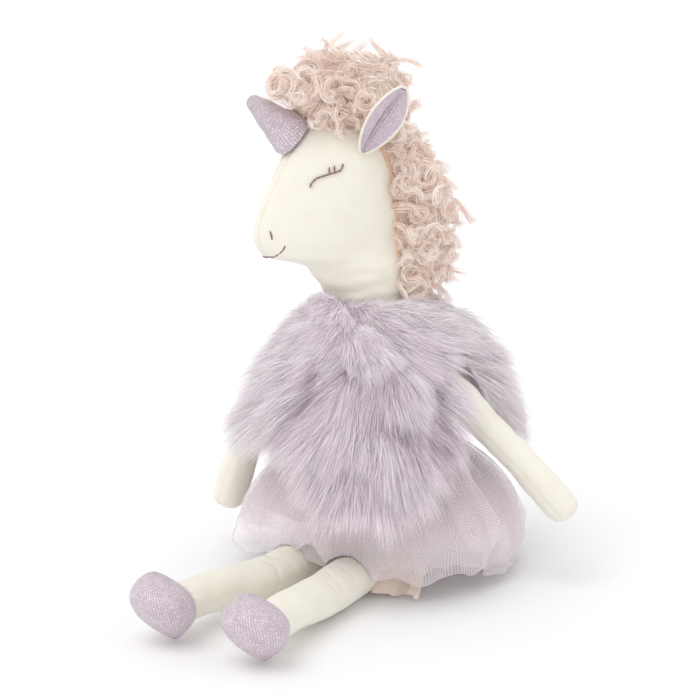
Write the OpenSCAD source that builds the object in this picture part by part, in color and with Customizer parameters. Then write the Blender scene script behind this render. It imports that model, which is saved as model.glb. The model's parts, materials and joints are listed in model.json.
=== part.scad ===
// Sitting plush unicorn doll: cream cotton body, glitter-knit horn, ear linings and hooves,
// a faux-fur stole, a gathered tulle skirt and a curly mohair mane.
// Millimetres, +Z up. The doll faces -Y, its left side is +X, and it sits on the plane z = 0.
// The origin is the centre of the flat seat panel.

/* [Body] */
// Radius of the flat seat panel
seat_r = 30; // [28:0.5:31]
// Thickness of the cotton and knit shells
cloth_t = 1.2; // [1:0.1:1.5]
// Gap between a shell and the filling inside it
fill_gap = 0.3; // [0.2:0.1:0.5]
// Height of the neck pivot above the seat
neck_z = 149; // [148.5:0.5:150]
// How far the neck sits in front of the seat's centre
neck_lean = 20; // [18:0.5:22]

/* [Head] */
// How far the head is turned to the doll's right
head_yaw = 38; // [30:1:44]
// Half of the angle that the centre gusset takes round each slice of the head
gusset_half = 15; // [12:1:20]
// Length of the horn
horn_len = 32; // [28:1:36]
// Length of an ear
ear_len = 44; // [38:1:48]
// Half width of an ear
ear_half = 11; // [9:0.5:12]
// Diameter of the embroidery thread
thread_d = 1.1; // [0.9:0.1:1.4]

/* [Limbs] */
// Half the distance between the hip seams
hip_x = 15.5; // [15:0.5:17]
// How far the hip seams lie in front of the seat's centre
hip_y = 37.5; // [37.5:0.5:38.5]
// Height of the hip seams
hip_z = 12; // [11:0.5:13]
// Radius of a leg
leg_r = 13.5; // [12.5:0.5:14]
// Angle that each leg points outwards
leg_splay = 6; // [4:0.5:7]
// Distance from a hip seam to its hoof's seam
leg_len = 124; // [116:1:126]
// Height of a hoof
hoof_h = 42; // [38:1:44]
// Radius of an arm at its middle
arm_r = 9.5; // [9:0.5:10.5]
// Height of the shoulder pivots
shoulder_z = 127; // [125:0.5:129]
// Half the distance between the shoulder pivots
shoulder_x = 42; // [41.5:0.5:44]
// How far the shoulder pivots lie in front of the seat's centre
shoulder_front = 14; // [13:0.5:16]

/* [Clothes] */
// Thickness of the fur with its pile lying down
fur_t = 13; // [10:1:14]
// Thickness of one gathered layer of tulle
tulle_t = 1.2; // [1:0.1:1.5]
// Space between two layers of the skirt
tulle_step = 2.6; // [2.2:0.1:3]
// Height of the skirt's waistband
waist_z = 76; // [74:1:80]

/* [Hidden] */

cream = [0.95, 0.93, 0.87];
glitter = [0.76, 0.69, 0.78];
fur_grey = [0.79, 0.75, 0.80];
mohair = [0.89, 0.78, 0.74];
tulle_pink = [0.83, 0.76, 0.79];
peach = [0.86, 0.72, 0.64];
thread_brown = [0.45, 0.33, 0.32];
filling = [0.97, 0.97, 0.97];
pellets = [0.85, 0.87, 0.9];

ball_r = 17;               // round end of the neck, in the bowl of the torso
bowl_gap = 0.6;
seat_t = 1.5;
shoulder_y = -shoulder_front;
seam_r = 1;                // stitched seams that act as hinges
sides = 18;

// ---- curves and solids ----

// Value at place t, from 0 to 1, of a smooth curve through evenly spaced keys
function key_at(keys, i) = keys[max(0, min(len(keys) - 1, i))];
function smooth(keys, t) =
    let (x = t * (len(keys) - 1), i = min(floor(x), len(keys) - 2), f = x - i)
    let (a = key_at(keys, i - 1), b = keys[i], c = keys[i + 1], d = key_at(keys, i + 2))
    b + 0.5 * f * (c - a + f * (2 * a - 5 * b + 4 * c - d + f * (3 * (b - c) + d - a)));

// Value at x of a curve through keys of the form [x, value, value, ...]
function span(keys, x, i = 0) =
    (i >= len(keys) - 2 || x <= keys[i + 1][0]) ? i : span(keys, x, i + 1);
function at(keys, x) =
    let (i = span(keys, x), f = (x - keys[i][0]) / (keys[i + 1][0] - keys[i][0]))
    let (g = max(0, min(1, f)))
    let (a = key_at(keys, i - 1), b = keys[i], c = keys[i + 1], d = key_at(keys, i + 2))
    let (w = c[0] - b[0])
    let (mb = (c - a) * w / max(0.001, c[0] - a[0]), mc = (d - b) * w / max(0.001, d[0] - b[0]))
    b * (1 + 2 * g) * (1 - g) * (1 - g) + mb * g * (1 - g) * (1 - g)
    + c * g * g * (3 - 2 * g) - mc * g * g * (1 - g);

function flat(lists) = [for (list = lists) each list];
function total(values) = values * [for (v = values) 1];
function reversed(list) = [for (i = [len(list) - 1:-1:0]) list[i]];

// A polyhedron whose faces are turned outwards, whichever way its rings run
function volume(points, faces) = total([
    for (f = faces, k = [1:len(f) - 2])
        points[f[0]] * cross(points[f[k]], points[f[k + 1]])
]);
module solid(points, faces) {
    outward = volume(points, faces) > 0 ? [for (f = faces) reversed(f)] : faces;
    polyhedron(points, outward, convexity = 8);
}

// Solid between two grids of points, outer and inner, of the same size.
// A grid is a list of rows. With ring, each row closes on itself.
module slab(outer, inner, ring = false) {
    rows = len(outer);
    cols = len(outer[0]) + (ring ? 1 : 0);
    n = len(outer[0]);
    skin = rows * n;
    function id(i, j) = i * n + (j % n);
    faces = [
        for (i = [0:rows - 2], j = [0:cols - 2])
            let (a = id(i, j), b = id(i, j + 1), c = id(i + 1, j + 1), d = id(i + 1, j))
            each [[a, b, c], [a, c, d], [skin + a, skin + c, skin + b], [skin + a, skin + d, skin + c]],
        for (j = [0:cols - 2], i = [0, rows - 1])
            let (a = id(i, j), b = id(i, j + 1))
            each i == 0
                ? [[a, skin + a, b], [b, skin + a, skin + b]]
                : [[a, b, skin + a], [b, skin + b, skin + a]],
        if (!ring)
            for (i = [0:rows - 2], j = [0, cols - 1])
                let (a = id(i, j), d = id(i + 1, j))
                each j == 0
                    ? [[a, d, skin + a], [d, skin + d, skin + a]]
                    : [[a, skin + a, d], [d, skin + a, skin + d]]
    ];
    solid(concat(flat(outer), flat(inner)), faces);
}

// Closed solid through a stack of rings
module loft(rings) {
    n = len(rings[0]);
    rows = len(rings);
    faces = [
        for (i = [0:rows - 2], j = [0:n - 1])
            let (a = i * n + j, b = i * n + (j + 1) % n, c = b + n, d = a + n)
            each [[a, b, c], [a, c, d]],
        [for (j = [n - 1:-1:0]) j],
        [for (j = [0:n - 1]) (rows - 1) * n + j]
    ];
    solid(flat(rings), faces);
}

// Shell that is open at its first ring and closed at its last
module cup(outer, inner) {
    n = len(outer[0]);
    rows = len(outer);
    skin = rows * n;
    faces = [
        for (i = [0:rows - 2], j = [0:n - 1])
            let (a = i * n + j, b = i * n + (j + 1) % n, c = b + n, d = a + n)
            each [[a, b, c], [a, c, d], [skin + a, skin + c, skin + b], [skin + a, skin + d, skin + c]],
        for (j = [0:n - 1])
            let (a = j, b = (j + 1) % n)
            each [[a, skin + a, b], [b, skin + a, skin + b]],
        [for (j = [0:n - 1]) (rows - 1) * n + j],
        [for (j = [n - 1:-1:0]) skin + (rows - 1) * n + j]
    ];
    solid(concat(flat(outer), flat(inner)), faces);
}

// Rings along a path. Each station is [x, y, z, half width, half height], and the width lies along wide.
function unit(v) = v / norm(v);
function place(s) = [s[0], s[1], s[2]];
function tube_ring(p, dir, half_w, half_h, wide, n) =
    let (side = unit(wide - dir * (wide * dir)), up = cross(side, dir))
    [for (j = [0:n - 1]) p + side * half_w * cos(360 * j / n) + up * half_h * sin(360 * j / n)];
function tube(stations, steps, wide, inset = 0, t0 = 0, n = sides) = [
    for (i = [0:steps])
        let (t = t0 + (1 - t0) * i / steps, s = smooth(stations, t))
        let (dir = unit(place(smooth(stations, min(1, t + 0.01))) - place(smooth(stations, max(0, t - 0.01)))))
        tube_ring(place(s), dir, s[3] - inset, s[4] - inset, wide, n)
];

// ---- torso ----

// Centre and radius of the torso: [height, y of the centre, radius]
torso_keys = [
    [0, 0, seat_r], [4, 0, 31.8], [12, -1, 35], [24, -2, 37], [52, -6, 34.5],
    [76, -10, 31], [100, -14, 31.5], [124, -18, 31], [137, -19.5, 27], [147, -20, 20.5]
];
function round_ring(z, y, r, n = sides) = [for (j = [0:n - 1]) [r * cos(360 * j / n), y + r * sin(360 * j / n), z]];
function torso_rings(inset, z0, z1, steps) = [
    for (i = [0:steps])
        let (z = z0 + (z1 - z0) * i / steps, k = at(torso_keys, z))
        round_ring(z, k[1], k[2] - inset)
];
// The bowl at the top of the torso, in which the neck's round end turns
function bowl_rings(r, a0, a1, steps) = [
    for (i = [0:steps])
        let (a = a0 + (a1 - a0) * i / steps)
        round_ring(neck_z - r * sin(a), -neck_lean, r * cos(a))
];

module seat_panel() {
    color(cream) cylinder(h = seat_t, r = seat_r, $fn = 96);
}

module torso_skin() {
    bowl_r = ball_r + bowl_gap;
    color(cream) cup(
        concat(torso_rings(0, seat_t + 0.1, 146.5, 15), bowl_rings(bowl_r, 9, 76, 4)),
        concat(torso_rings(cloth_t, seat_t + 0.1, 144.5, 15), bowl_rings(bowl_r + cloth_t, 15, 76, 4))
    );
}

module torso_stuffing() {
    color(filling) loft(concat(
        torso_rings(cloth_t + fill_gap, 26, 126, 11),
        [round_ring(128.5, -18.8, 22)]
    ));
}

module pellet_bag() {
    color(pellets) loft([
        for (a = [-70:28:70])
            round_ring(13.6 + 11.2 * sin(a), -1, 20 + 10 * cos(a))
    ]);
}

// ---- head ----

// Slices of the head and neck: [height, back, front, half width at the back, half width at the front]
head_keys = [
    [neck_z + 3, -16.5, 16.5, 16.5, 16.5], [160, -20.5, 20.5, 20, 20], [166, -22.5, 22.5, 22, 22],
    [173, -23.5, 25.6, 23, 21], [181, -23.7, 32, 24, 19.8], [187.5, -23.8, 41, 25, 18],
    [191, -23.8, 49, 25.3, 15.8], [194, -23.8, 57, 25.6, 14.5], [198, -23.8, 63.5, 26, 14],
    [206.5, -23.5, 66.5, 26.5, 14.5],
    [216, -22.8, 65, 27, 15], [228, -20.8, 60.5, 27.5, 16], [241, -17.3, 54, 27, 17],
    [251, -12.5, 48.5, 25.5, 17], [260, -6, 42, 22, 15.5], [267, 1.5, 35, 17, 12.5],
    [271, 9, 28, 11, 9]
];
head_slices = [
    160, 166, 173, 180, 187, 190.5, 194, 198.5, 206, 217, 229, 241, 251, 260, 266.5, 271
];
head_top = 271;

// Point [forward, left, height] on the head, at an angle from the front, grown outwards by grow
function head_point(z, a, grow = 0) =
    let (k = at(head_keys, z), mid = (k[1] + k[2]) / 2, half = (k[2] - k[1]) / 2 + grow)
    let (w = grow + k[3] + (k[4] - k[3]) * (1 + cos(a)) / 2)
    [mid + half * cos(a), w * sin(a), z];
// The neck's round lower end
function ball_point(e, a, grow = 0) =
    [(ball_r + grow) * cos(e) * cos(a), (ball_r + grow) * cos(e) * sin(a), neck_z + (ball_r + grow) * sin(e)];
function head_angle(z, u) =
    let (k = at(head_keys, z))
    acos(max(-1, min(1, (u - (k[1] + k[2]) / 2) / ((k[2] - k[1]) / 2))));
function head_grid(angles, grow) = concat(
    [for (e = [-66:19.5:12]) [for (a = angles) ball_point(e, a, grow)]],
    [for (z = head_slices) [for (a = angles) head_point(z + (z == head_top ? grow : 0), a, grow)]]
);
// [forward, left, height] to the part's axes
function in_frame(p) = [p[1], -p[0], p[2]];
function to_frame(grid) = [for (row = grid) [for (p = row) in_frame(p)]];

module on_neck() {
    translate([0, -neck_lean, 0]) rotate([0, 0, -head_yaw]) children();
}

seam_gap = 0.5;
module head_panel(a0, a1, steps) {
    angles = [for (i = [0:steps]) a0 + (a1 - a0) * i / steps];
    color(cream) on_neck() slab(to_frame(head_grid(angles, 0)), to_frame(head_grid(angles, -cloth_t)));
}

module head_left_panel() {
    head_panel(gusset_half + seam_gap, 180 - seam_gap, 8);
}

module head_right_panel() {
    head_panel(180 + seam_gap, 360 - gusset_half - seam_gap, 8);
}

module head_gusset() {
    head_panel(-gusset_half, gusset_half, 5);
}

// The ring of ladder stitches between the neck and the torso
module neck_seam() {
    color(cream) translate([0, -neck_lean, neck_z - 1.2]) rotate_extrude($fn = 72)
        translate([ball_r + 0.7, 0]) square([1.6, 1.6]);
}

module head_stuffing() {
    inset = -cloth_t - fill_gap;
    angles = [for (j = [0:sides - 1]) 360 * j / sides];
    color(filling) on_neck() loft(to_frame(concat(
        [for (e = [-66:19.5:12]) [for (a = angles) ball_point(e, a, inset)]],
        [for (z = [for (z = head_slices) if (z < 270) z]) [for (a = angles) head_point(z, a, inset)]]
    )));
}

// The horn is a flattened cone. Its root lies on the forehead, and it leans forwards.
horn_root = [44.2, 0, 263.4];
horn_rise = 41;
horn_half_w = 8.5;
horn_half_h = 12.5;
function horn_rings(inset, s1, steps) = [
    for (i = [0:steps])
        let (s = s1 * i / steps, k = 1 - s * s * 0.25 - s * 0.62)
        [for (j = [0:sides - 1])
            let (v = (horn_half_w * k - inset) * cos(360 * j / sides))
            let (w = (horn_half_h * k - inset) * sin(360 * j / sides))
            let (along = s * horn_len)
            in_frame([
                horn_root[0] + along * cos(horn_rise) - w * sin(horn_rise),
                v,
                horn_root[2] + along * sin(horn_rise) + w * cos(horn_rise)
            ])
        ]
];

module horn_skin() {
    color(glitter) on_neck() cup(horn_rings(0, 1, 7), horn_rings(0.9, 0.95, 7));
}

module horn_stuffing() {
    color(filling) on_neck() loft(horn_rings(1.2, 0.88, 6));
}

// An ear is a cupped leaf. Its axis leans back and outwards, and its hollow faces forwards and out.
ear_root = [7, 24.5, 254];
ear_axis = unit([-0.44, 0.30, 0.84]);
ear_wide = unit([0.72, 0.25, 0.40] - ear_axis * ([0.72, 0.25, 0.40] * ear_axis));
ear_out = cross(ear_axis, ear_wide);
ear_fold = 3.2;
function ear_point(s, w, lift) =
    let (half = ear_half * pow(sin(180 * pow(0.05 + 0.92 * s, 1.06)), 0.62))
    ear_root + ear_axis * ear_len * s + ear_wide * half * w
    + ear_out * (lift + ear_fold * (w * w - 0.5) * sin(150 * s + 20));
function ear_grid(lift, trim) = [
    for (i = [0:9])
        [for (j = [-4:4]) in_frame(ear_point(trim + (1 - 2 * trim) * i / 9, j / 4 * (1 - trim * 2), lift))]
];

module ear_back(side) {
    color(cream) on_neck() mirror([side < 0 ? 1 : 0, 0, 0]) slab(ear_grid(-0.3, 0), ear_grid(-1.6, 0));
}

module ear_lining(side) {
    color(glitter) on_neck() mirror([side < 0 ? 1 : 0, 0, 0]) slab(ear_grid(1.3, 0.03), ear_grid(0, 0.03));
}

// A thread that lies on the head through points given as [forward, height]
module thread(points, side, steps) {
    stations = [
        for (p = points)
            let (q = head_point(p[1], head_angle(p[1], p[0]), 0.8), f = in_frame([q[0], side * q[1], q[2]]))
            [f[0], f[1], f[2], thread_d / 2, thread_d / 2]
    ];
    color(thread_brown) on_neck() loft(tube(stations, steps, [1, 0, 0], n = 6));
}

// A closed eye: a low S curve with three lashes at its outer end
eye_line = [[39.6, 237.4], [36.3, 242.4], [31.1, 244.2], [26.4, 245.6], [22.7, 246.9], [21.8, 250.2]];
module eye(side) {
    thread(eye_line, side, 14);
    for (lash = [[28.6, 246.2], [25.6, 247.2]])
        thread([lash, lash + [0, 1.6], lash + [0, 3.2]], side, 2);
}

module nostril_embroidery() {
    for (side = [-1, 1])
        thread([[58.2, 206], [58.6, 208.2], [58.9, 210.4]], side, 3);
}

// The smile runs round the muzzle from one side to the other
module mouth_embroidery() {
    stations = [
        for (a = [-45:9:45])
            let (p = in_frame(head_point(195 + 6.5 * pow(abs(a) / 45, 3), a, 0.8)))
            [p[0], p[1], p[2], thread_d / 2, thread_d / 2]
    ];
    color(thread_brown) on_neck() loft(tube(stations, 18, [0, 0, 1], n = 6));
}

// The curly mane stands off the nape in lumps
mane_gap = 0.8;
function mane_thick(z, a) =
    let (rise = (z - 172) / 90, edge = pow(abs(a - 180) / 54, 3))
    (13 + 17 * sin(25 + 130 * rise) + 3 * sin(z * 17) + 2.5 * sin(a * 9 + z * 8)) * (1 - 0.8 * edge);

module mane() {
    angles = [for (i = [0:12]) 126 + 9 * i];
    heights = [for (i = [0:11]) 179 + 7.2 * i];
    color(mohair) on_neck() slab(
        to_frame([for (z = heights) [for (a = angles) head_point(z, a, mane_gap + mane_thick(z, a))]]),
        to_frame([for (z = heights) [for (a = angles) head_point(z, a, mane_gap)]])
    );
}

// The forelock is a mop of curls over the crown: [height, back, front, half width]
forelock_keys = [
    [262, -10, 34, 22], [273, -16, 33, 24], [278, -20, 36, 25], [285, -22, 44, 28], [293, -21, 56, 29],
    [301, -18, 58, 28], [309, -10, 52, 24], [315, 0, 41, 16], [318, 8, 30, 9]
];
// Its lower edge passes over the horn in front and comes down to the mane behind
function forelock_edge(a) = let (f = 0.5 + 0.5 * cos(a)) 265 + 11 * pow(f, 1.5);
function forelock_point(z, a) =
    let (k = at(forelock_keys, z), lump = 1 + 0.05 * sin(a * 5 + z * 11))
    [(k[1] + k[2]) / 2 + (k[2] - k[1]) / 2 * cos(a) * lump, k[3] * sin(a) * lump, z];

module forelock() {
    angles = [for (a = [0:15:345]) a];
    function outer(a, f) =
        let (z = forelock_edge(a) + (317 - forelock_edge(a)) * f, b = min(1, f * 6))
        head_point(min(z, 270), a, 3) * (1 - b) + forelock_point(z, a) * b;
    function inner(a, f) =
        let (z = forelock_edge(a) + (274 - forelock_edge(a)) * f, p = head_point(min(z, 270), a, 1.2))
        f < 1 ? [p[0], p[1], z] : [18 + 0.2 * (p[0] - 18), 0.2 * p[1], 274];
    color(mohair) on_neck() cup(
        to_frame([for (f = [0, 0.07, 0.16, 0.28, 0.42, 0.58, 0.74, 0.88, 1]) [for (a = angles) outer(a, f)]]),
        to_frame([for (f = [0, 0.1, 0.25, 0.4, 0.6, 0.75, 0.9, 0.97, 1]) [for (a = angles) inner(a, f)]])
    );
}

// ---- arms ----

// Steps of each arm's path from its shoulder pivot: [outwards, back, down]
left_arm_path = [[0, 0, 0], [15, 6.5, 16], [30, 13, 33], [46, 20, 50], [60, 25, 66], [70, 29, 78]];
right_arm_path = [[0, 0, 0], [12, -5, 18], [24, -11, 37], [34, -14, 57], [42, -16, 78], [47, -17, 93]];
arm_halves = [9, 9.8, arm_r, arm_r - 0.3, arm_r + 0.6, arm_r + 0.3];
function arm_stations(side) =
    let (path = side > 0 ? left_arm_path : right_arm_path)
    [for (i = [0:5])
        [
            side * (shoulder_x + path[i][0]), shoulder_y + path[i][1], shoulder_z - path[i][2],
            arm_halves[i], arm_halves[i]
        ]];
// A round end on a tube, from the rim to near the pole
function round_end(p, dir, r, squat, wide) = [
    for (e = [25, 50, 70, 82]) tube_ring(p + dir * r * squat * sin(e), dir, r * cos(e), r * cos(e), wide, sides)
];
// Rings from the round root to the round end of an arm
function arm_rings(side, inset, steps) =
    let (s = arm_stations(side), wide = [0, 1, 0])
    let (from = unit(place(s[1]) - place(s[0])), to = unit(place(s[5]) - place(s[4])))
    concat(
        [for (e = [-70:23:-1])
            let (r = s[0][3] - inset)
            tube_ring(place(s[0]) + from * r * sin(e), from, r * cos(e), r * cos(e), wide, sides)],
        tube(s, steps, wide, inset = inset),
        round_end(place(s[5]), to, s[5][3] - inset, 0.75, wide)
    );

module arm_skin(side) {
    color(cream) cup(arm_rings(side, 0, 10), arm_rings(side, cloth_t, 10));
}

module arm_stuffing(side) {
    color(filling) loft(arm_rings(side, cloth_t + fill_gap, 8));
}

// A pad of whip stitches between the torso's side and the arm
module shoulder_stitches(side) {
    color(cream) translate([side * (shoulder_x - 9.9), shoulder_y, shoulder_z]) rotate([0, 90, 0])
        cylinder(h = 1.2, r = 3.5, center = true, $fn = 40);
}

// ---- legs ----

// A leg runs from its flat-sewn root to the hoof's seam: [distance, half width, half height]
leg_keys = [
    [3.2, 12.2, 2.6], [9, 12.8, 6.2], [18, 13.3, 10.5], [30, leg_r, 12.8], [55, leg_r - 0.3, 12.6],
    [80, leg_r - 1, 12], [100, leg_r - 1.5, 11.6], [leg_len, leg_r - 2, 11.2]
];
ankle_rise = 8;
function leg_ring(d, inset) =
    let (k = at(leg_keys, d), f = max(0, min(1, (d - 45) / 75)))
    let (z = max(hip_z, k[2] + 0.6) - hip_z + ankle_rise * f * f * (3 - 2 * f))
    [for (j = [0:sides - 1])
        [(k[1] - inset) * cos(360 * j / sides), -d, z + (k[2] - inset) * sin(360 * j / sides)]];
function leg_rings(inset, d0, d1, steps) = [for (i = [0:steps]) leg_ring(d0 + (d1 - d0) * i / steps, inset)];

module on_hip(side) {
    translate([side * hip_x, -hip_y, hip_z]) rotate([0, 0, side * leg_splay]) children();
}

module leg_skin(side) {
    color(cream) on_hip(side) slab(leg_rings(0, 3.2, leg_len, 12), leg_rings(cloth_t, 3.2, leg_len, 12), ring = true);
}

module leg_stuffing(side) {
    color(filling) on_hip(side) loft(leg_rings(cloth_t + fill_gap, 10, leg_len - 0.4, 9));
}

// A hoof is a padded teardrop that leans forwards, round at its top and pointed at its bottom.
// It is cut across by rings that face the leg.
hoof_half_w = 17.5;
hoof_half_d = 15;
hoof_z = hoof_h / 2 + 0.4 - hip_z;
hoof_lean = 0.25;
function hoof_ring(d, inset) =
    let (s = d / (2 * hoof_half_d), round = pow(max(0, sin(180 * (0.16 + 0.78 * s))), 0.62))
    [for (j = [0:sides - 1])
        let (a = 360 * j / sides, tip = 1 + (sin(a) < 0 ? 0.10 : 0.03) * pow(abs(sin(a)), 6))
        let (rise = (hoof_h / 2.2 * round * tip - inset) * sin(a))
        [
            (hoof_half_w * round - inset) * cos(a),
            -leg_len - 0.3 - d - hoof_lean * min(1, d / 12) * rise,
            hoof_z + rise
        ]
    ];

module hoof_skin(side) {
    depth = 2 * hoof_half_d;
    color(glitter) on_hip(side) cup(
        [for (i = [0:9]) hoof_ring(depth * i / 9, 0)],
        [for (i = [0:9]) hoof_ring((depth - 1.4) * i / 9, cloth_t)]
    );
}

module hoof_stuffing(side) {
    depth = 2 * hoof_half_d - 2.2;
    color(filling) on_hip(side) loft([for (i = [0:7]) hoof_ring(0.4 + depth * i / 7, cloth_t + fill_gap)]);
}

// The row of stitches that closes the leg's root and hangs it from the torso's front seam
module hip_stitches(side) {
    color(cream) on_hip(side) rotate([0, 90, 0]) cylinder(h = 22, r = seam_r, center = true, $fn = 32);
}

// ---- stole ----

// Points on the cape: angle from the front towards the doll's left, s from collar to hem
function cape_point(a, s, lift) =
    let (r = 26.5 + 38 * pow(s, 0.75) + lift)
    [r * sin(a), -neck_lean + 11 * s - r * cos(a), 163 - 4 * s - 70 * s * s + lift * 0.55];
// A long end flares over the skirt
tail_flare = 14;
// How far down the cape reaches: short over the arms, long at the front and the back
arm_gap = 30;
function hem(a) =
    let (off = min(abs(a - 110), abs(a - 272)) - arm_gap, front = abs(a > 180 ? a - 360 : a) / 60)
    0.53 + 0.43 * max(0, min(1, off / 14)) + 0.08 * max(0, 1 - front * front);
function cape_grid(a0, a1, steps, s0, s1, lift, rows) = [
    for (i = [0:rows])
        [for (j = [0:steps])
            let (a = a0 + (a1 - a0) * j / steps, s = s0 + (hem(a) * s1 - s0) * i / rows)
            cape_point(a, s, lift + max(0, s - 1) * tail_flare)]
];
module cape(a0, a1, steps, s0 = 0, s1 = 1, thick = fur_t, rows = 6) {
    color(fur_grey) slab(
        cape_grid(a0, a1, steps, s0, s1, thick, rows),
        cape_grid(a0, a1, steps, s0, s1, 0, rows)
    );
}

module stole_back() {
    cape(74, 316, 34);
}

module stole_left_front() {
    cape(52, 71, 4);
}

module stole_right_front() {
    cape(317, 373, 8);
}

// The stole's end comes down from the collar, goes under the loop and hangs over the lap
tail_t = fur_t * 0.6;
module stole_tail() {
    cape(14, 50, 6, s0 = 0.06, s1 = 1.14, thick = tail_t, rows = 10);
}

// The loop is a band of fur across the tail. Each station is [angle, s, half width].
loop_half_t = 5;
loop_stations = [[16, 0.38, 8], [23, 0.41, 13], [32, 0.45, 15], [41, 0.49, 13], [47, 0.52, 8]];
module stole_loop() {
    stations = [
        for (k = loop_stations)
            let (p = cape_point(k[0], k[1], tail_t + loop_half_t + 1.5))
            [p[0], p[1], p[2], k[2], loop_half_t * (k[2] > 10 ? 1 : 0.7)]
    ];
    color(fur_grey) loft(tube(stations, 9, [0.35, -0.4, -0.85], n = 16));
}

// ---- skirt ----

waist_y = -10;
waist_r = 32.6;

module skirt_waistband() {
    color(tulle_pink) translate([0, waist_y, waist_z]) rotate_extrude($fn = 72)
        translate([waist_r, 0]) square([2.6, 8], center = false);
}

// How far down the skirt reaches: to the floor at the sides and the back, and on to the thighs in front
lap_half = 50;
function skirt_low(a) =
    let (f = abs(a > 180 ? a - 360 : a))
    f < lap_half - 10 ? 33 : (f > lap_half + 6 ? 2.2 : 2.2 + 30.8 * (lap_half + 6 - f) / 16);
function skirt_point(a, s, lift) =
    let (low = skirt_low(a), z = waist_z + 2 + lift * 0.3 - (waist_z + 2 - low) * s)
    let (r = waist_r + 2.9 + lift + 36 * sin(90 * min(1, s * 1.1)))
    let (frill = 1 + 0.022 * s * sin(a * 13) + 0.012 * s * sin(a * 7 + 40))
    let (front = 1 - 0.14 * s * pow(max(0, cos(a)), 2))
    [r * frill * sin(a), waist_y * (1 - s) - r * frill * front * cos(a), z];
function skirt_grid(lift, s1) = [
    for (i = [0:5]) [for (j = [0:53]) skirt_point(20 * j / 3, s1 * i / 5, lift)]
];
module skirt_layer(level, s1 = 1) {
    base = level * tulle_step;
    slab(skirt_grid(base + tulle_t, s1), skirt_grid(base, s1), ring = true);
}

module skirt_lining() {
    color(tulle_pink) skirt_layer(0, s1 = 0.9);
}

module underskirt_organza() {
    color(peach) skirt_layer(1, s1 = 0.98);
}

module tulle_inner() {
    color(tulle_pink) skirt_layer(2);
}

module tulle_outer() {
    color(tulle_pink) skirt_layer(3);
}

seat_panel();
torso_skin();
torso_stuffing();
pellet_bag();
neck_seam();
head_left_panel();
head_right_panel();
head_gusset();
head_stuffing();
horn_skin();
horn_stuffing();
ear_back(1);  // ear_left_back
ear_lining(1);  // ear_left_lining
ear_back(-1);  // ear_right_back
ear_lining(-1);  // ear_right_lining
eye(1);  // eye_left_embroidery
eye(-1);  // eye_right_embroidery
nostril_embroidery();
mouth_embroidery();
forelock();
mane();
arm_skin(1);  // arm_left_skin
arm_stuffing(1);  // arm_left_stuffing
shoulder_stitches(1);  // shoulder_left_stitches
arm_skin(-1);  // arm_right_skin
arm_stuffing(-1);  // arm_right_stuffing
shoulder_stitches(-1);  // shoulder_right_stitches
leg_skin(1);  // leg_left_skin
leg_stuffing(1);  // leg_left_stuffing
hoof_skin(1);  // hoof_left_skin
hoof_stuffing(1);  // hoof_left_stuffing
hip_stitches(1);  // hip_left_stitches
leg_skin(-1);  // leg_right_skin
leg_stuffing(-1);  // leg_right_stuffing
hoof_skin(-1);  // hoof_right_skin
hoof_stuffing(-1);  // hoof_right_stuffing
hip_stitches(-1);  // hip_right_stitches
stole_back();
stole_left_front();
stole_right_front();
stole_loop();
stole_tail();
skirt_waistband();
skirt_lining();
underskirt_organza();
tulle_inner();
tulle_outer();
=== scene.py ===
"""Looks of the plush unicorn doll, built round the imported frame.

Lengths in the code are millimetres in the part's axes; make() turns them into metres.
"""
import bpy
import json
import math
import numpy as np
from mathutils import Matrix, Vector, kdtree


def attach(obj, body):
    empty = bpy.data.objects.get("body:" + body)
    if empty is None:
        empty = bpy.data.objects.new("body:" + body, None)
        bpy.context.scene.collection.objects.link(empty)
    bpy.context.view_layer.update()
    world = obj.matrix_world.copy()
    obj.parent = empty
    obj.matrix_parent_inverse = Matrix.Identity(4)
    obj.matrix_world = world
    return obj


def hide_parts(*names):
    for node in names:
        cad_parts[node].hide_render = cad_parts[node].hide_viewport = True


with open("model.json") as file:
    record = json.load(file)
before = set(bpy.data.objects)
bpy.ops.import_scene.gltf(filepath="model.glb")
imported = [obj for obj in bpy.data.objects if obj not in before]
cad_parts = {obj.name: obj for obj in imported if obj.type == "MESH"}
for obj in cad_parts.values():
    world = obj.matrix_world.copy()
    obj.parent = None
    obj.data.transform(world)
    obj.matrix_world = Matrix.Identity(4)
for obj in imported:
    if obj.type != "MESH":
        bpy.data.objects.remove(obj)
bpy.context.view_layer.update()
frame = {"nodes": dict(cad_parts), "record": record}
TAU = 2 * math.pi

# ---------------------------------------------------------------- numbers


def rad(d):
    return np.radians(d)


def unit(v):
    v = np.asarray(v, float)
    return v / np.maximum(1e-9, np.linalg.norm(v, axis=-1, keepdims=True))


def ease(x):
    x = np.clip(x, 0, 1)
    return x * x * (3 - 2 * x)


def bump(x, centre, width):
    return np.exp(-(((x - centre) / width) ** 2))


def around(a):
    """The angle a brought to between -180 and 180 degrees."""
    return (np.asarray(a) + 180) % 360 - 180


def waves(p, size, seed, octaves=2):
    """Smooth seeded unevenness, about -1 to 1, with lumps of about size mm."""
    g = np.random.default_rng(seed)
    p = np.asarray(p, float)
    out = np.zeros(p.shape[:-1])
    amp, power = 1.0, 0.0
    for o in range(octaves):
        for _ in range(6):
            d = unit(g.normal(size=3)) * TAU / size * (0.6 + 0.8 * g.random()) * 2**o
            out += amp * np.sin(p @ d + TAU * g.random())
            power += amp * amp / 2
        amp *= 0.5
    return out / math.sqrt(power) / 1.6


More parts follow.
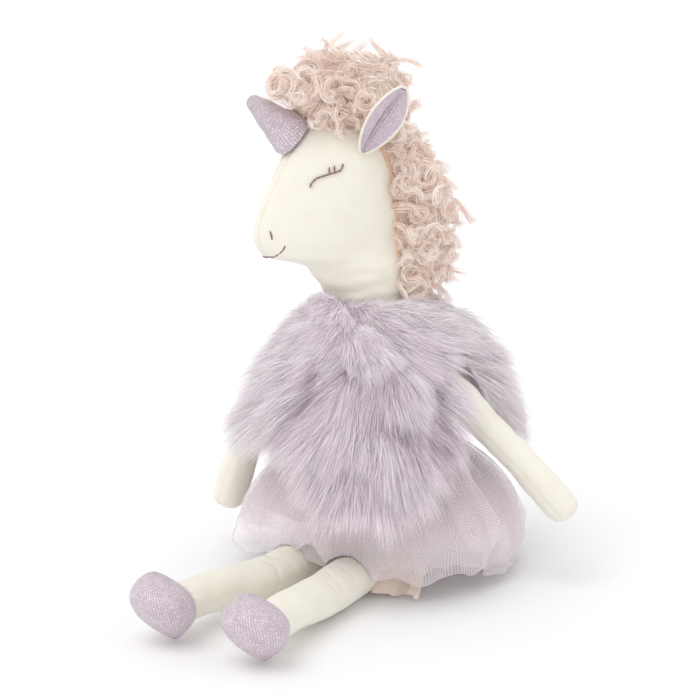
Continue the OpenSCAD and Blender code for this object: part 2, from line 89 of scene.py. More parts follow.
def at(keys, x):
    """Values at x of the smooth curve through keys of the form [x, value, ...]."""
    k = np.asarray(keys, float)
    x = np.asarray(x, float)
    i = np.clip(np.searchsorted(k[:, 0], x, side="left") - 1, 0, len(k) - 2)
    a, b, c, d = k[np.maximum(i - 1, 0)], k[i], k[i + 1], k[np.minimum(i + 2, len(k) - 1)]
    w = c[..., :1] - b[..., :1]
    g = np.clip((x[..., None] - b[..., :1]) / w, 0, 1)
    mb = (c - a) * w / np.maximum(1e-3, c[..., :1] - a[..., :1])
    mc = (d - b) * w / np.maximum(1e-3, d[..., :1] - b[..., :1])
    h = (1 - g) ** 2
    return b * (1 + 2 * g) * h + mb * g * h + c * g * g * (3 - 2 * g) - mc * g * g * (1 - g)


def smooth(keys, t):
    """Values at t, from 0 to 1, of the smooth curve through evenly spaced keys."""
    k = np.asarray(keys, float)
    x = np.asarray(t, float) * (len(k) - 1)
    i = np.clip(np.floor(x).astype(int), 0, len(k) - 2)
    f = (x - i)[..., None]
    a, b, c, d = k[np.maximum(i - 1, 0)], k[i], k[i + 1], k[np.minimum(i + 2, len(k) - 1)]
    return b + 0.5 * f * (c - a + f * (2 * a - 5 * b + 4 * c - d + f * (3 * (b - c) + d - a)))


def stack(x, y, z):
    """Points from three coordinates of any shapes that fit together."""
    return np.stack(np.broadcast_arrays(x, y, z), axis=-1)


# ---------------------------------------------------------------- meshes


def make(name, verts, faces, materials, uv=None, slots=None, shade=True):
    """A mesh object from vertices in mm and faces that all have the same number of corners."""
    verts = np.asarray(verts, float).reshape(-1, 3) * 0.001
    faces = np.asarray(faces, np.int32)
    n = faces.shape[1]
    me = bpy.data.meshes.new(name)
    me.vertices.add(len(verts))
    me.vertices.foreach_set("co", verts.astype(np.float32).ravel())
    me.loops.add(faces.size)
    me.loops.foreach_set("vertex_index", faces.ravel())
    me.polygons.add(len(faces))
    me.polygons.foreach_set("loop_start", np.arange(len(faces), dtype=np.int32) * n)
    if slots is not None:
        me.polygons.foreach_set("material_index", np.asarray(slots, np.int32))
    me.polygons.foreach_set("use_smooth", np.full(len(faces), shade))
    me.update(calc_edges=True)
    if uv is not None:
        layer = me.uv_layers.new(name="UVMap")
        uv = np.asarray(uv, np.float32).reshape(-1, 2)
        layer.data.foreach_set("uv", uv[faces.ravel()].ravel())
    for m in materials if isinstance(materials, (list, tuple)) else [materials]:
        me.materials.append(m)
    o = bpy.data.objects.new(name, me)
    bpy.context.scene.collection.objects.link(o)
    return o


def grid_faces(rows, cols, closed=False, flip=False):
    """Quads of a grid of rows x cols points. With closed, each row joins its own end."""
    i = np.arange(rows - 1)[:, None]
    j = np.arange(cols if closed else cols - 1)[None, :]
    k = (j + 1) % cols
    f = np.stack(np.broadcast_arrays(i * cols + j, i * cols + k, (i + 1) * cols + k, (i + 1) * cols + j), -1)
    f = f.reshape(-1, 4)
    return f[:, ::-1] if flip else f


def sheet_mesh(name, grid, materials, closed=False, flip=False, uv=None):
    rows, cols = grid.shape[:2]
    return make(name, grid, grid_faces(rows, cols, closed, flip), materials, uv=uv)


def seal(grid):
    """The grid with rows added that draw in towards the middle of each end, so that a closed grid has ends."""
    def ends(row):
        mid = row.mean(0)
        return [mid + (row - mid) * k for k in (0.02, 0.35, 0.7)]
    return np.concatenate([np.array(ends(grid[0])), grid, np.array(ends(grid[-1])[::-1])])


def tangents(paths):
    return unit(np.gradient(paths, axis=-2))


def strand_mesh(paths, widths, sides, seed):
    """Vertices and quads of strands. paths is (strands, points, 3) and widths is (strands, points)."""
    g = np.random.default_rng(seed)
    n, s = paths.shape[:2]
    t = tangents(paths)
    ref = unit(g.normal(size=(n, 1, 3)))
    side = unit(np.cross(t, ref))
    up = np.cross(side, t)
    half = widths[..., None] / 2
    if sides == 2:
        ring = np.stack([paths + side * half, paths - side * half], axis=2)
    else:
        ring = np.stack([paths + half * (side * math.cos(TAU * k / sides) + up * math.sin(TAU * k / sides))
                         for k in range(sides)], axis=2)
    verts = ring.reshape(-1, 3)
    base = (np.arange(n) * s * sides)[:, None, None]
    row = (np.arange(s - 1) * sides)[None, :, None]
    if sides == 2:
        a = (base + row).reshape(-1)
        return verts, np.stack([a, a + 1, a + 3, a + 2], -1)
    k = np.arange(sides)[None, None, :]
    a = base + row + k
    b = base + row + (k + 1) % sides
    return verts, np.stack([a, b, b + sides, a + sides], -1).reshape(-1, 4)


def strand_pieces(name, paths, widths, sides, materials, choice, body, seed, limit=90000):
    """Strand objects of at most limit quads each, all riding on body."""
    per = (paths.shape[1] - 1) * (1 if sides == 2 else sides)
    step = max(1, limit // per)
    made = []
    for k, start in enumerate(range(0, len(paths), step)):
        part = slice(start, start + step)
        v, f = strand_mesh(paths[part], widths[part], sides, seed + k)
        o = make(f"{name}_{k + 1}", v, f, materials, slots=np.repeat(choice[part], per))
        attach(o, body)
        made.append(o)
    return made


def tube(path, radius, sides=10, wide=(0, 0, 1), ends=True):
    """Closed grid round a path of points. radius is a number, or one number or pair for each point."""
    path = np.asarray(path, float)
    t = tangents(path)
    side = unit(np.asarray(wide, float) - t * (t @ np.asarray(wide, float))[:, None])
    up = np.cross(side, t)
    r = np.asarray(radius, float)
    r = np.full((len(path), 2), r) if r.ndim == 0 else (np.stack([r, r], -1) if r.ndim == 1 else r)
    a = TAU * np.arange(sides) / sides
    g = path[:, None] + side[:, None] * (r[:, :1] * np.cos(a))[..., None]
    g = g + up[:, None] * (r[:, 1:] * np.sin(a))[..., None]
    return seal(g) if ends else g


def cloth_area(grid):
    """Area of a grid in mm, in square metres."""
    d1 = np.diff(grid, axis=0)[:, :-1]
    d2 = np.diff(grid, axis=1)[:-1]
    return float(np.linalg.norm(np.cross(d1, d2), axis=-1).sum()) * 1e-6


def flat_size(grid):
    """Width and length of the strip a gathered layer was cut from, in metres."""
    length = np.linalg.norm(np.diff(grid[:, ::7], axis=0), axis=-1).sum(0).mean() * 0.001
    return (round(cloth_area(grid) / length * 1.02, 3), round(float(length), 3))


def piece(o, body, slot, *nodes):
    """Makes o ride on body, in place of the CAD nodes named. slot is not used."""
    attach(o, body)
    if nodes:
        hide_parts(*nodes)
    return o


# ---------------------------------------------------------------- materials


class Paint:
    """A Principled material and short ways to add nodes to it."""

    def __init__(self, name, color, rough=0.85, **sockets):
        self.m = bpy.data.materials.new(name)
        self.m.use_nodes = True
        self.t = self.m.node_tree
        self.t.nodes.clear()
        self.out = self.t.nodes.new("ShaderNodeOutputMaterial")
        self.b = self.t.nodes.new("ShaderNodeBsdfPrincipled")
        self.t.links.new(self.b.outputs[0], self.out.inputs[0])
        self.b.inputs["Base Color"].default_value = self.rgb(color)
        self.b.inputs["Roughness"].default_value = rough
        for k, v in sockets.items():
            self.b.inputs[k.replace("_", " ")].default_value = v

    @staticmethod
    def rgb(c):
        """A colour from 0 to 255 as the linear colour that a socket takes."""
        c = [x / 255 for x in c]
        return tuple(x / 12.92 if x <= 0.04045 else ((x + 0.055) / 1.055) ** 2.4 for x in c) + (1,)

    def put(self, socket, value):
        if isinstance(value, bpy.types.NodeSocket):
            self.t.links.new(value, socket)
        elif isinstance(value, (tuple, list)) and len(value) == 3 and socket.type == "RGBA":
            socket.default_value = self.rgb(value)
        else:
            socket.default_value = value

    def node(self, kind, out=0, props=None, **inputs):
        n = self.t.nodes.new("ShaderNode" + kind)
        for k, v in (props or {}).items():
            setattr(n, k, v)
        for k, v in inputs.items():
            self.put(n.inputs[k.replace("_", " ")], v)
        return n.outputs[out]

    def math(self, op, a, b=0.0, c=0.0):
        n = self.t.nodes.new("ShaderNodeMath")
        n.operation = op
        for s, v in zip(n.inputs, (a, b, c)):
            self.put(s, v)
        return n.outputs[0]

    def mix(self, factor, a, b):
        n = self.t.nodes.new("ShaderNodeMix")
        n.data_type = "RGBA"
        self.put(n.inputs[0], factor)
        self.put(n.inputs[6], a)
        self.put(n.inputs[7], b)
        return n.outputs[2]

    def ramp(self, value, lo, hi):
        return self.node("MapRange", Value=value, From_Min=lo, From_Max=hi)

    def coords(self, kind="Object"):
        return self.t.nodes.new("ShaderNodeTexCoord").outputs[kind]

    def noise(self, per_m, detail=2.0, vector=None):
        return self.node("TexNoise", Vector=vector or self.coords(), Scale=per_m, Detail=detail)

    def relief(self, height, distance, strength=1.0, normal=None):
        n = self.t.nodes.new("ShaderNodeBump")
        n.inputs["Strength"].default_value = strength
        n.inputs["Distance"].default_value = distance
        self.put(n.inputs["Height"], height)
        if normal is not None:
            self.put(n.inputs["Normal"], normal)
        return n.outputs[0]


def cotton(name, color, shade):
    """Plain-woven cotton: fine threads across each other, a soft sheen and faint unevenness."""
    p = Paint(name, color, 0.88, Sheen_Weight=0.25, Sheen_Roughness=0.5)
    soft = p.ramp(p.noise(55.0, 3.0), 0.42, 0.75)
    p.put(p.b.inputs["Base Color"], p.mix(p.math("MULTIPLY", soft, 0.35), color, shade))
    big = p.relief(p.noise(60.0, 3.0), 0.0022, 0.35)
    weave = p.relief(p.noise(2600.0, 1.0), 0.0002, 0.4, big)
    p.put(p.b.inputs["Normal"], weave)
    return p.m


def glitter_knit(name, color, shade):
    """Knit with metal thread. u counts rows and v counts stitches along a row."""
    p = Paint(name, color, 0.6, Sheen_Weight=0.2, Sheen_Roughness=0.4)
    uv = p.coords("UV")
    sep = p.t.nodes.new("ShaderNodeSeparateXYZ")
    p.put(sep.inputs[0], uv)
    u, v = sep.outputs[0], sep.outputs[1]
    fu, fv = p.math("FRACT", u), p.math("FRACT", v)
    cell = p.t.nodes.new("ShaderNodeCombineXYZ")
    p.put(cell.inputs[0], p.math("FLOOR", u))
    p.put(cell.inputs[1], p.math("FLOOR", v))
    luck = p.node("TexWhiteNoise", Vector=cell.outputs[0])
    du, dv = p.math("SUBTRACT", fu, 0.5), p.math("SUBTRACT", fv, 0.5)
    d = p.math("SQRT", p.math("ADD", p.math("MULTIPLY", du, du), p.math("MULTIPLY", dv, dv)))
    # painted glints: white dots in the base colour, at some stitches and at scattered points, stand for the
    # sparkle of the metal thread
    dot = p.ramp(d, 0.36, 0.12)
    lit = p.ramp(luck, 0.5, 0.9)
    bright = p.math("MULTIPLY", dot, lit)
    glint = p.t.nodes.new("ShaderNodeTexVoronoi")
    glint.voronoi_dimensions = "2D"
    p.put(glint.inputs["Vector"], uv)
    glint.inputs["Scale"].default_value = 0.4
    bright = p.math("MAXIMUM", bright, p.ramp(glint.outputs["Distance"], 0.12, 0.05))
    # painted shade: the base colour darkens towards each row's edges, in the grooves between rows
    groove = p.math("ABSOLUTE", du)
    rows = p.ramp(groove, 0.25, 0.5)
    base = p.mix(p.math("MULTIPLY", rows, 0.55), color, shade)
    patch = p.ramp(p.noise(180.0, 2.0), 0.35, 0.7)
    base = p.mix(p.math("MULTIPLY", patch, 0.4), base, shade)
    p.put(p.b.inputs["Base Color"], p.mix(bright, base, (255, 253, 255)))
    stitch = p.math("ADD", p.math("MULTIPLY", rows, -1.0), p.math("MULTIPLY", p.math("ABSOLUTE", dv), -0.8))
    p.put(p.b.inputs["Normal"], p.relief(stitch, 0.0005, 0.6))
    return p.m


def hair(name, color, rough=0.55, glow=0.1):
    """Fine fibre. The faint glow stands for the light that fibres pass on to each other."""
    p = Paint(name, color, rough, Sheen_Weight=0.5, Sheen_Roughness=0.5, Emission_Strength=glow)
    p.b.inputs["Emission Color"].default_value = p.rgb(color)
    p.put(p.b.inputs["Normal"], p.relief(p.noise(900.0, 1.0), 0.0001, 0.2))
    return p.m


def net(name, color, pitch, thin, thick, sparkle=0.93, rough=0.6):
    """Tulle: a fine net that lets light through, with a little glitter. UV is in mm."""
    p = Paint(name, color, rough, Sheen_Weight=0.3)
    uv = p.coords("UV")
    cells = p.t.nodes.new("ShaderNodeTexVoronoi")
    cells.voronoi_dimensions = "2D"
    cells.feature = "DISTANCE_TO_EDGE"
    p.put(cells.inputs["Vector"], uv)
    cells.inputs["Scale"].default_value = 1 / pitch
    cells.inputs["Randomness"].default_value = 0.25
    thread = p.ramp(cells.outputs["Distance"], 0.22, 0.10)
    # glitter specks: opaque spots in the net, their white a painted glint
    luck = p.t.nodes.new("ShaderNodeTexVoronoi")
    luck.voronoi_dimensions = "2D"
    p.put(luck.inputs["Vector"], uv)
    luck.inputs["Scale"].default_value = 0.5
    spot = p.ramp(luck.outputs["Distance"], 0.12, 0.06)
    chance = p.node("SeparateXYZ", Vector=luck.outputs["Color"])
    lit = p.math("MULTIPLY", spot, p.math("GREATER_THAN", chance, 1 - sparkle))
    p.put(p.b.inputs["Base Color"], p.mix(lit, color, (255, 255, 255)))
    span = p.math("ADD", thin, p.math("MULTIPLY", thread, thick - thin))
    p.put(p.b.inputs["Alpha"], p.math("MAXIMUM", span, lit))
    return p.m


CREAM = cotton("cream_cotton", (243, 239, 226), (232, 224, 208))
KNIT = glitter_knit("glitter_knit", (218, 202, 211), (186, 168, 182))
KNIT_EAR = glitter_knit("glitter_knit_ear", (222, 204, 216), (190, 170, 187))
THREAD = cotton("embroidery_thread", (150, 114, 106), (122, 88, 84))
FILL = cotton("filling", (246, 246, 244), (236, 236, 234))
FUR = [hair("fur_shadow", (192, 175, 190), 0.6, 0.0), hair("fur_mid", (240, 227, 235), 0.6, 0.03),
       hair("fur_silver", (238, 233, 236), 0.6, 0.04), hair("fur_light", (250, 242, 247), 0.6, 0.035)]
FUR_BACK = cotton("fur_backing", (208, 194, 206), (192, 178, 191))
MOHAIR = [hair("mohair_shadow", (234, 210, 197), 0.5, 0.06), hair("mohair_mid", (243, 227, 217), 0.5, 0.08),
          hair("mohair_light", (251, 243, 236), 0.45, 0.1)]
MOHAIR_BACK = cotton("mohair_backing", (228, 206, 190), (214, 188, 170))
# warm orange for the cords along the mane's edges: painted warm shade where the mane meets the head
MANE_EDGE_SHADE = cotton("mane_edge_painted_shade", (232, 192, 162), (218, 172, 142))
SATIN = cotton("skirt_satin", (244, 236, 240), (236, 226, 232))
TULLE = net("glitter_tulle", (248, 236, 242), 1.7, 0.14, 0.62)
TULLE_IN = net("glitter_tulle_inner", (244, 231, 238), 1.7, 0.2, 0.62)
ROLL = net("glitter_tulle_roll", (244, 232, 238), 1.1, 0.5, 0.8)
ORGANZA = net("peach_organza", (250, 228, 212), 0.6, 0.66, 0.9, sparkle=0.0, rough=0.4)
ORGANZA_IN = net("peach_organza_layer", (242, 226, 222), 0.6, 0.3, 0.55, sparkle=0.0, rough=0.4)

BY_SLOT = {"cream_cotton": CREAM, "polyester_filling": FILL, "pellet_filling": FILL, "glitter_knit": KNIT,
           "embroidery_thread": THREAD, "mohair": MOHAIR[1], "faux_fur": FUR_BACK, "skirt_satin": SATIN,
           "peach_organza": ORGANZA, "glitter_tulle": TULLE_IN}
for sub in frame["record"]["subparts"]:
    node = frame["nodes"][sub["node"]]
    node.data.materials.clear()
    node.data.materials.append(BY_SLOT[sub["material_slot"]])

# ---------------------------------------------------------------- head

NECK = np.array([0.0, -20.0, 0.0])
YAW = rad(-38)
HEAD_KEYS = [
    [152, -16.5, 16.5, 16.5, 16.5], [160, -20.5, 20.5, 20, 20], [166, -22.5, 22.5, 22, 22],
    [173, -23.5, 25.6, 23, 21], [181, -23.7, 31, 24, 19.8], [187.5, -23.8, 36.5, 25, 18],
    [191, -23.8, 47, 25.3, 15.8], [194, -23.8, 59, 25.6, 14.5], [198, -23.8, 63.5, 26, 14],
    [206.5, -23.5, 66.5, 26.5, 14.5],
    [216, -22.8, 65, 27, 15], [228, -20.8, 60.5, 27.5, 16], [241, -17.3, 54, 27, 17],
    [251, -12.5, 48.5, 25.5, 17], [260, -6, 42, 22, 15.5], [267, 1.5, 35, 17, 12.5], [271, 9, 28, 11, 9],
]


def on_neck(p):
    """[forward, left, height] of the head to the part's axes."""
    x, y = p[..., 1], -p[..., 0]
    c, s = math.cos(YAW), math.sin(YAW)
    return stack(c * x - s * y, s * x + c * y, p[..., 2]) + NECK


def head_point(z, a, grow=0.0):
    """Point of the head at height z and at angle a, in degrees from the front, grown outwards."""
    z, a, grow = np.broadcast_arrays(np.asarray(z, float), np.asarray(a, float), np.asarray(grow, float))
    k = at(HEAD_KEYS, z)
    mid, half = (k[..., 1] + k[..., 2]) / 2, (k[..., 2] - k[..., 1]) / 2 + grow
    c, s = np.cos(rad(a)), np.sin(rad(a))
    w = grow + k[..., 3] + (k[..., 4] - k[..., 3]) * (1 + c) / 2
    return stack(mid + half * c, w * s, z)


def head_angle(z, u):
    """The angle at which the head's side at height z is u mm forward."""
    k = at(HEAD_KEYS, z)
    mid, half = (k[..., 1] + k[..., 2]) / 2, (k[..., 2] - k[..., 1]) / 2
    return np.degrees(np.arccos(np.clip((u - mid) / half, -1, 1)))


SEAM = 15.0  # angle from the front at which the face's gusset meets the side panels


def head_panel(name, a0, a1, cols, *nodes):
    """One cotton panel of the head. Its edges turn in at the seams, and the cloth puckers beside them."""
    z = np.concatenate([np.linspace(150, 190, 56), np.linspace(190.6, 262, 110), np.linspace(262.6, 271, 16)])
    # the columns stand closer beside the seams
    even = np.linspace(0, 1, cols)
    a = a0 + (a1 - a0) * (0.35 * (0.5 - 0.5 * np.cos(np.pi * even)) + 0.65 * even)
    zz, aa = np.meshgrid(z, a, indexing="ij")
    p = head_point(zz, aa)
    step = np.linalg.norm(np.gradient(p, axis=1), axis=-1)
    run = np.cumsum(step, axis=1)
    edge = np.minimum(run - run[:, :1], run[:, -1:] - run)
    grow = -0.6 * np.exp(-((edge / 0.9) ** 2))
    grow += 0.12 * np.sin(zz * TAU / 3.6 + waves(p, 30, 3)) * np.exp(-((edge / 3.0) ** 2))
    grow += 0.45 * waves(p, 42, 11)
    # soft folds across the neck, and one under the chin
    neck = ease((196 - zz) / 22) * ease((zz - 150) / 8)
    fold = np.sin((zz + 2.6 * waves(p, 46, 5)) * TAU / 8.5)
    grow += 0.42 * neck * fold * (0.45 + 0.55 * waves(p, 30, 6))
    # the seam that runs from the ear's root down the cheek
    side = np.where(aa > 180, 360 - aa, aa)
    line = 97 + 5 * ease((252 - zz) / 50)
    grow += -0.22 * bump(side, line, 1.3) * ease((zz - 222) / 14) * ease((256 - zz) / 8)
    grow = np.where(edge < 1e-6, -1.5, grow)
    p = head_point(zz, aa, grow)
    o = piece(sheet_mesh(name, on_neck(p), CREAM), "head", "cream_cotton", *nodes)


head_panel("head_left_cloth", SEAM, 180, 150, "head_left_panel")
head_panel("head_right_cloth", 180, 360 - SEAM, 150, "head_right_panel")
head_panel("head_gusset_cloth", -SEAM, SEAM, 60, "head_gusset", "head_stuffing")


def crown():
    """The low dome of cloth under the forelock."""
    a = np.linspace(0, 360, 73)[:-1]
    rim = head_point(271, a, -0.6)
    mid = rim.mean(0)
    rows = [mid + (rim - mid) * k + np.array([0, 0, 1.6 * (1 - k * k)]) for k in (1, 0.8, 0.55, 0.3, 0.02)]
    o = sheet_mesh("head_crown_cloth", on_neck(np.array(rows)), CREAM, closed=True)
    piece(o, "head", "cream_cotton")


crown()


def on_face(points, side=1, lift=0.35):
    """Points [forward, height] of the left side of the face, or mirrored to the right with side -1."""
    pts = np.asarray(points, float)
    q = head_point(pts[:, 1], head_angle(pts[:, 1], pts[:, 0]), lift)
    q[:, 1] *= side
    return on_neck(q)


def seam_relief(off, along, depth, half, pucker):
    """Growth beside a seam, off mm from it: the cloth draws in at the seam and puckers along it."""
    return -depth * bump(off, 0, half) + pucker * np.sin(along * TAU / 3.4) * bump(off, 0, 3)


def stitches(path, width=1.1, length=3.0):
    """Back stitches along a path: a thread that dips where each stitch goes into the cloth."""
    seg = np.linalg.norm(np.diff(path, axis=0), axis=1)
    run = np.concatenate([[0], np.cumsum(seg)])
    total = run[-1]
    count = max(1, round(total / length))
    s = np.linspace(0, total, count * 12 + 1)
    p = np.stack([np.interp(s, run, path[:, k]) for k in range(3)], -1)
    phase = np.abs(np.sin(np.pi * s / total * count))
    r = width / 2 * (0.62 + 0.38 * phase**0.5)
    return tube(p, r, 8)


def join_grids(name, grids, material):
    """One object from closed grids such as tube() gives."""
    verts, faces, base = [], [], 0
    for g in grids:
        verts.append(g.reshape(-1, 3))
        faces.append(grid_faces(g.shape[0], g.shape[1], closed=True) + base)
        base += g.shape[0] * g.shape[1]
    return make(name, np.concatenate(verts), np.concatenate(faces), material)


EYE = [[38.4, 235.4], [37.4, 237.9], [34.8, 240.4], [30.0, 242.2], [25.4, 243.6], [22.0, 245.0],
       [20.6, 248.4]]
for side, word in ((1, "left"), (-1, "right")):
    line = on_face(smooth(EYE, np.linspace(0, 1, 60)), side)
    lashes = [on_face(np.array([p, p + np.array([0.25, 1.7]), p + np.array([0.1, 3.4])]), side)
              for p in (np.array([28.0, 243.3]), np.array([25.2, 244.1]))]
    threads = [stitches(line)] + [stitches(p, 0.95, 3.6) for p in lashes]
    o = join_grids(f"eye_{word}_thread", threads, THREAD)
    piece(o, "head", "embroidery_thread", f"eye_{word}_embroidery")

NOSTRIL = [[58.1, 205.8], [58.5, 208.2], [59.1, 210.6]]
o = join_grids("nostril_thread", [stitches(on_face(NOSTRIL, side), 1.1, 5) for side in (1, -1)], THREAD)
piece(o, "head", "embroidery_thread", "nostril_embroidery")

SMILE = 47.0  # angle from the front at which the smile ends
turn = np.linspace(-SMILE, SMILE, 81)
height = 194.4 + 3.4 * (turn / SMILE) ** 2 + 4.8 * (turn / SMILE) ** 8 + 0.2 * np.cos(rad(turn * 19))
o = join_grids("mouth_thread", [stitches(on_neck(head_point(height, turn, 0.35)), 1.1, 3.2)], THREAD)
piece(o, "head", "embroidery_thread", "mouth_embroidery")

# ---------------------------------------------------------------- horn


HORN_ROOT = (44.2, 263.4)  # forward and height of the middle of its base
HORN_RISE = rad(41)
HORN_LENGTH = 32.0


def horn():
    """A flattened cone of glitter knit, blunt at its tip."""
    tip = 0.9 + 0.1 * np.sin(np.linspace(0.15, 1, 12) * np.pi / 2)
    s = np.concatenate([np.linspace(-0.12, 0.9, 44), tip])
    a = np.linspace(0, TAU, 65)
    ss, aa = np.meshgrid(s, a, indexing="ij")
    k = 1 - 0.66 * np.clip(ss, 0, 1) - 0.06 * np.clip(ss, 0, 1) ** 2
    k = k * np.sqrt(np.clip(1 - np.clip((ss - 0.9) / 0.1, 0, 1) ** 2, 0.0004, 1))
    k = k * (1 + 0.05 * bump(ss, 0.0, 0.1))
    v = 8.3 * k * np.cos(aa)
    w = 12.5 * k * np.sin(aa)
    along = ss * HORN_LENGTH
    forward = HORN_ROOT[0] + along * math.cos(HORN_RISE) - w * math.sin(HORN_RISE)
    height = HORN_ROOT[1] + along * math.sin(HORN_RISE) + w * math.cos(HORN_RISE)
    p = stack(forward, v, height)
    p = p + stack(0, 0.5, 0.5) * waves(p, 15, 21)[..., None]
    uv = np.stack([aa / TAU * 42, ss * 28], -1)
    o = sheet_mesh("horn_cloth", on_neck(p), KNIT, uv=uv)
    piece(o, "head", "glitter_knit", "horn_skin", "horn_stuffing")


horn()

# ---------------------------------------------------------------- ears

EAR_ROOT = np.array([10.8, 24.5, 254.6])
EAR_AXIS = unit([-0.44, 0.30, 0.84])
EAR_SIDE = np.array([0.72, 0.25, 0.40])
EAR_WIDE = unit(EAR_SIDE - EAR_AXIS * (EAR_SIDE @ EAR_AXIS))
EAR_OUT = np.cross(EAR_AXIS, EAR_WIDE)


def ear_point(s, w, lift):
    """Point of an ear: s from root to tip, w from edge to edge, lifted off towards the hollow."""
    s, w = np.broadcast_arrays(s, w)
    half = 11.3 * np.sin(np.pi * (0.012 + 0.976 * s) ** 1.08) ** 0.6
    crease = -5.5 * np.exp(-(((w + 0.1) / 0.17) ** 2)) * np.sin(np.pi * np.clip(s * 1.08, 0, 1)) ** 0.7
    cup = 3.6 * (w * w - 0.45) * np.sin(rad(150 * s + 20))
    out = lift + cup + crease * 0.8
    return (EAR_ROOT + EAR_AXIS * (44 * s)[..., None] + EAR_WIDE * (half * w)[..., None]
            + EAR_OUT * np.asarray(out)[..., None])


def ear(side, word):
    """An ear: a cream back, a glitter lining in its hollow, and the turned edge of the back as piping."""
    s, w = np.meshgrid(np.linspace(0, 1, 60), np.linspace(-1, 1, 49), indexing="ij")
    back = ear_point(s, w, -1.0 + 0.9 * np.abs(w) ** 8)
    lining = ear_point(0.03 + 0.94 * s, w * 0.93, 0.35)
    up = np.sin(np.linspace(0, np.pi / 2, 70))
    rim = np.concatenate([ear_point(up, -1.0, -0.2), ear_point(up[::-1], 1.0, -0.2)])
    grids = []
    for g in (back, lining, rim):
        g = g.copy()
        g[..., 1] *= side
        grids.append(on_neck(g))
    back, lining, rim = grids
    flip = side < 0
    o = join_grids(f"ear_{word}_piping", [tube(rim, 0.75, 8)], CREAM)
    piece(o, "head", "cream_cotton")
    o = sheet_mesh(f"ear_{word}_back_cloth", back, CREAM, flip=flip)
    piece(o, "head", "cream_cotton", f"ear_{word}_back")
    flat_size(back)
    uv = np.stack([w * 10, s * 46], -1)
    o = sheet_mesh(f"ear_{word}_lining_cloth", lining, KNIT_EAR, flip=flip, uv=uv)
    piece(o, "head", "glitter_knit", f"ear_{word}_lining")
    flat_size(lining)


ear(1, "left")
ear(-1, "right")

# ---------------------------------------------------------------- mane and forelock


def curls(roots, axes, g, length, radius, turns, strands, points, droop, bundle):
    """Ringlets: locks of strands that coil together round an axis. Gives (strands, points, 3)."""
    n = len(roots)
    t = np.linspace(0, 1, points)[None, :, None]
    ln = g.uniform(*length, size=(n, 1, 1))
    rd = g.uniform(*radius, size=(n, 1, 1))
    tn = g.uniform(*turns, size=(n, 1, 1)) * np.where(g.random((n, 1, 1)) < 0.5, -1, 1)
    ph = g.uniform(0, TAU, size=(n, 1, 1))
    e1 = unit(np.cross(axes, unit(g.normal(size=(n, 3)))))
    e2 = np.cross(axes, e1)
    bend = unit(g.normal(size=(n, 3)))[:, None] * g.uniform(2, 9, size=(n, 1, 1))
    all_paths = []
    for _ in range(strands):
        dp = g.normal(0, 0.16, size=(n, 1, 1))
        rr = rd * (0.25 + 0.75 * ease(t * 3.5)) * (1.08 - 0.35 * t)
        rr = rr + g.normal(0, bundle * 0.55, size=(n, 1, 1))
        ang = ph + dp + TAU * tn * (t**0.92)
        off = g.normal(0, bundle * 0.8, size=(n, 1, 1))
        er = e1[:, None] * np.cos(ang) + e2[:, None] * np.sin(ang)
        stray = 0.5 * np.sin(ang * 2.3 + g.uniform(0, TAU, size=(n, 1, 1)))
        p = roots[:, None] + axes[:, None] * (ln * t + off * ease(t * 4)) + er * (rr + stray)
        p = p + bend * t * t + np.array([0, 0, -1.0]) * droop * t * t
        p = p + g.normal(0, 0.5, size=(n, 1, 3))
        all_paths.append(p)
    return np.stack(all_paths, 1).reshape(n * strands, points, 3)


def clear_of_ears_and_horn(paths):
    """Which locks leave the ears' hollows and the horn free. paths is (locks, strands, points, 3)."""
    p = paths.copy()
    p[..., 1] = np.abs(p[..., 1])
    ear = p - EAR_ROOT
    s, w, d = ear @ EAR_AXIS, ear @ EAR_WIDE, ear @ EAR_OUT
    at_ear = (s > -6) & (s < 46) & (np.abs(w) < 12) & (d > -3) & (d < 26)
    u, h = p[..., 0] - HORN_ROOT[0], p[..., 2] - HORN_ROOT[1]
    along = u * math.cos(HORN_RISE) + h * math.sin(HORN_RISE)
    across = h * math.cos(HORN_RISE) - u * math.sin(HORN_RISE)
    at_horn = (along > -4) & (along < 37) & (across < 9 - 0.12 * along) & (across > -20) & (p[..., 1] < 15)
    over_cheek = (p[..., 0] > -6) & (p[..., 2] < 246)
    low = (p[..., 0] > 27) & (p[..., 2] < 263)
    return ~(at_ear | at_horn | low | over_cheek).any(axis=(1, 2))


def mohair(name, roots, axes, seed, **how):
    """Locks of mohair from roots along axes, in the head's own axes. how goes to curls()."""
    g = np.random.default_rng(seed)
    strands = how["strands"]
    paths = curls(roots, axes, g, **how)
    paths = paths.reshape(len(roots), strands, -1, 3)
    paths = paths[clear_of_ears_and_horn(paths)]
    n = len(paths)
    paths = paths.reshape(n * strands, -1, 3)
    t = np.linspace(0, 1, how["points"])[None]
    widths = g.uniform(0.26, 0.5, size=(n * strands, 1)) * (1 - 0.75 * t**4)
    tint = np.repeat(g.random(n), strands) * 0.5 + g.random(n * strands) * 0.5
    choice = np.digitize(tint, [0.27, 0.66])
    return strand_pieces(name, on_neck(paths), widths, 2, MOHAIR, choice, "head", seed)


GOLDEN = 0.61803398875


def curly(name, roots, normals, seed, count, stand, share=None, **how):
    """Locks on a surface: most coil along it, and the part called stand points away from it.

    share is how often each root is picked. Without it the picks step evenly over the roots.
    """
    g = np.random.default_rng(seed)
    if share is None:
        pick = (np.arange(count) * GOLDEN % 1 * len(roots)).astype(int)
    else:
        pick = g.choice(len(roots), size=count, p=share / share.sum())
    n = normals[pick]
    lie = unit(np.cross(n, unit(g.normal(size=(count, 3)))))
    lie[:, 2] -= 0.35
    out = np.where(g.random(count) < stand, 1.5, 0.22)[:, None]
    axes = unit(lie + out * n)
    base = roots[pick] + g.normal(0, 1.2, size=(count, 3)) - n * 1.0
    mohair(name, base, axes, seed + 1, **how)


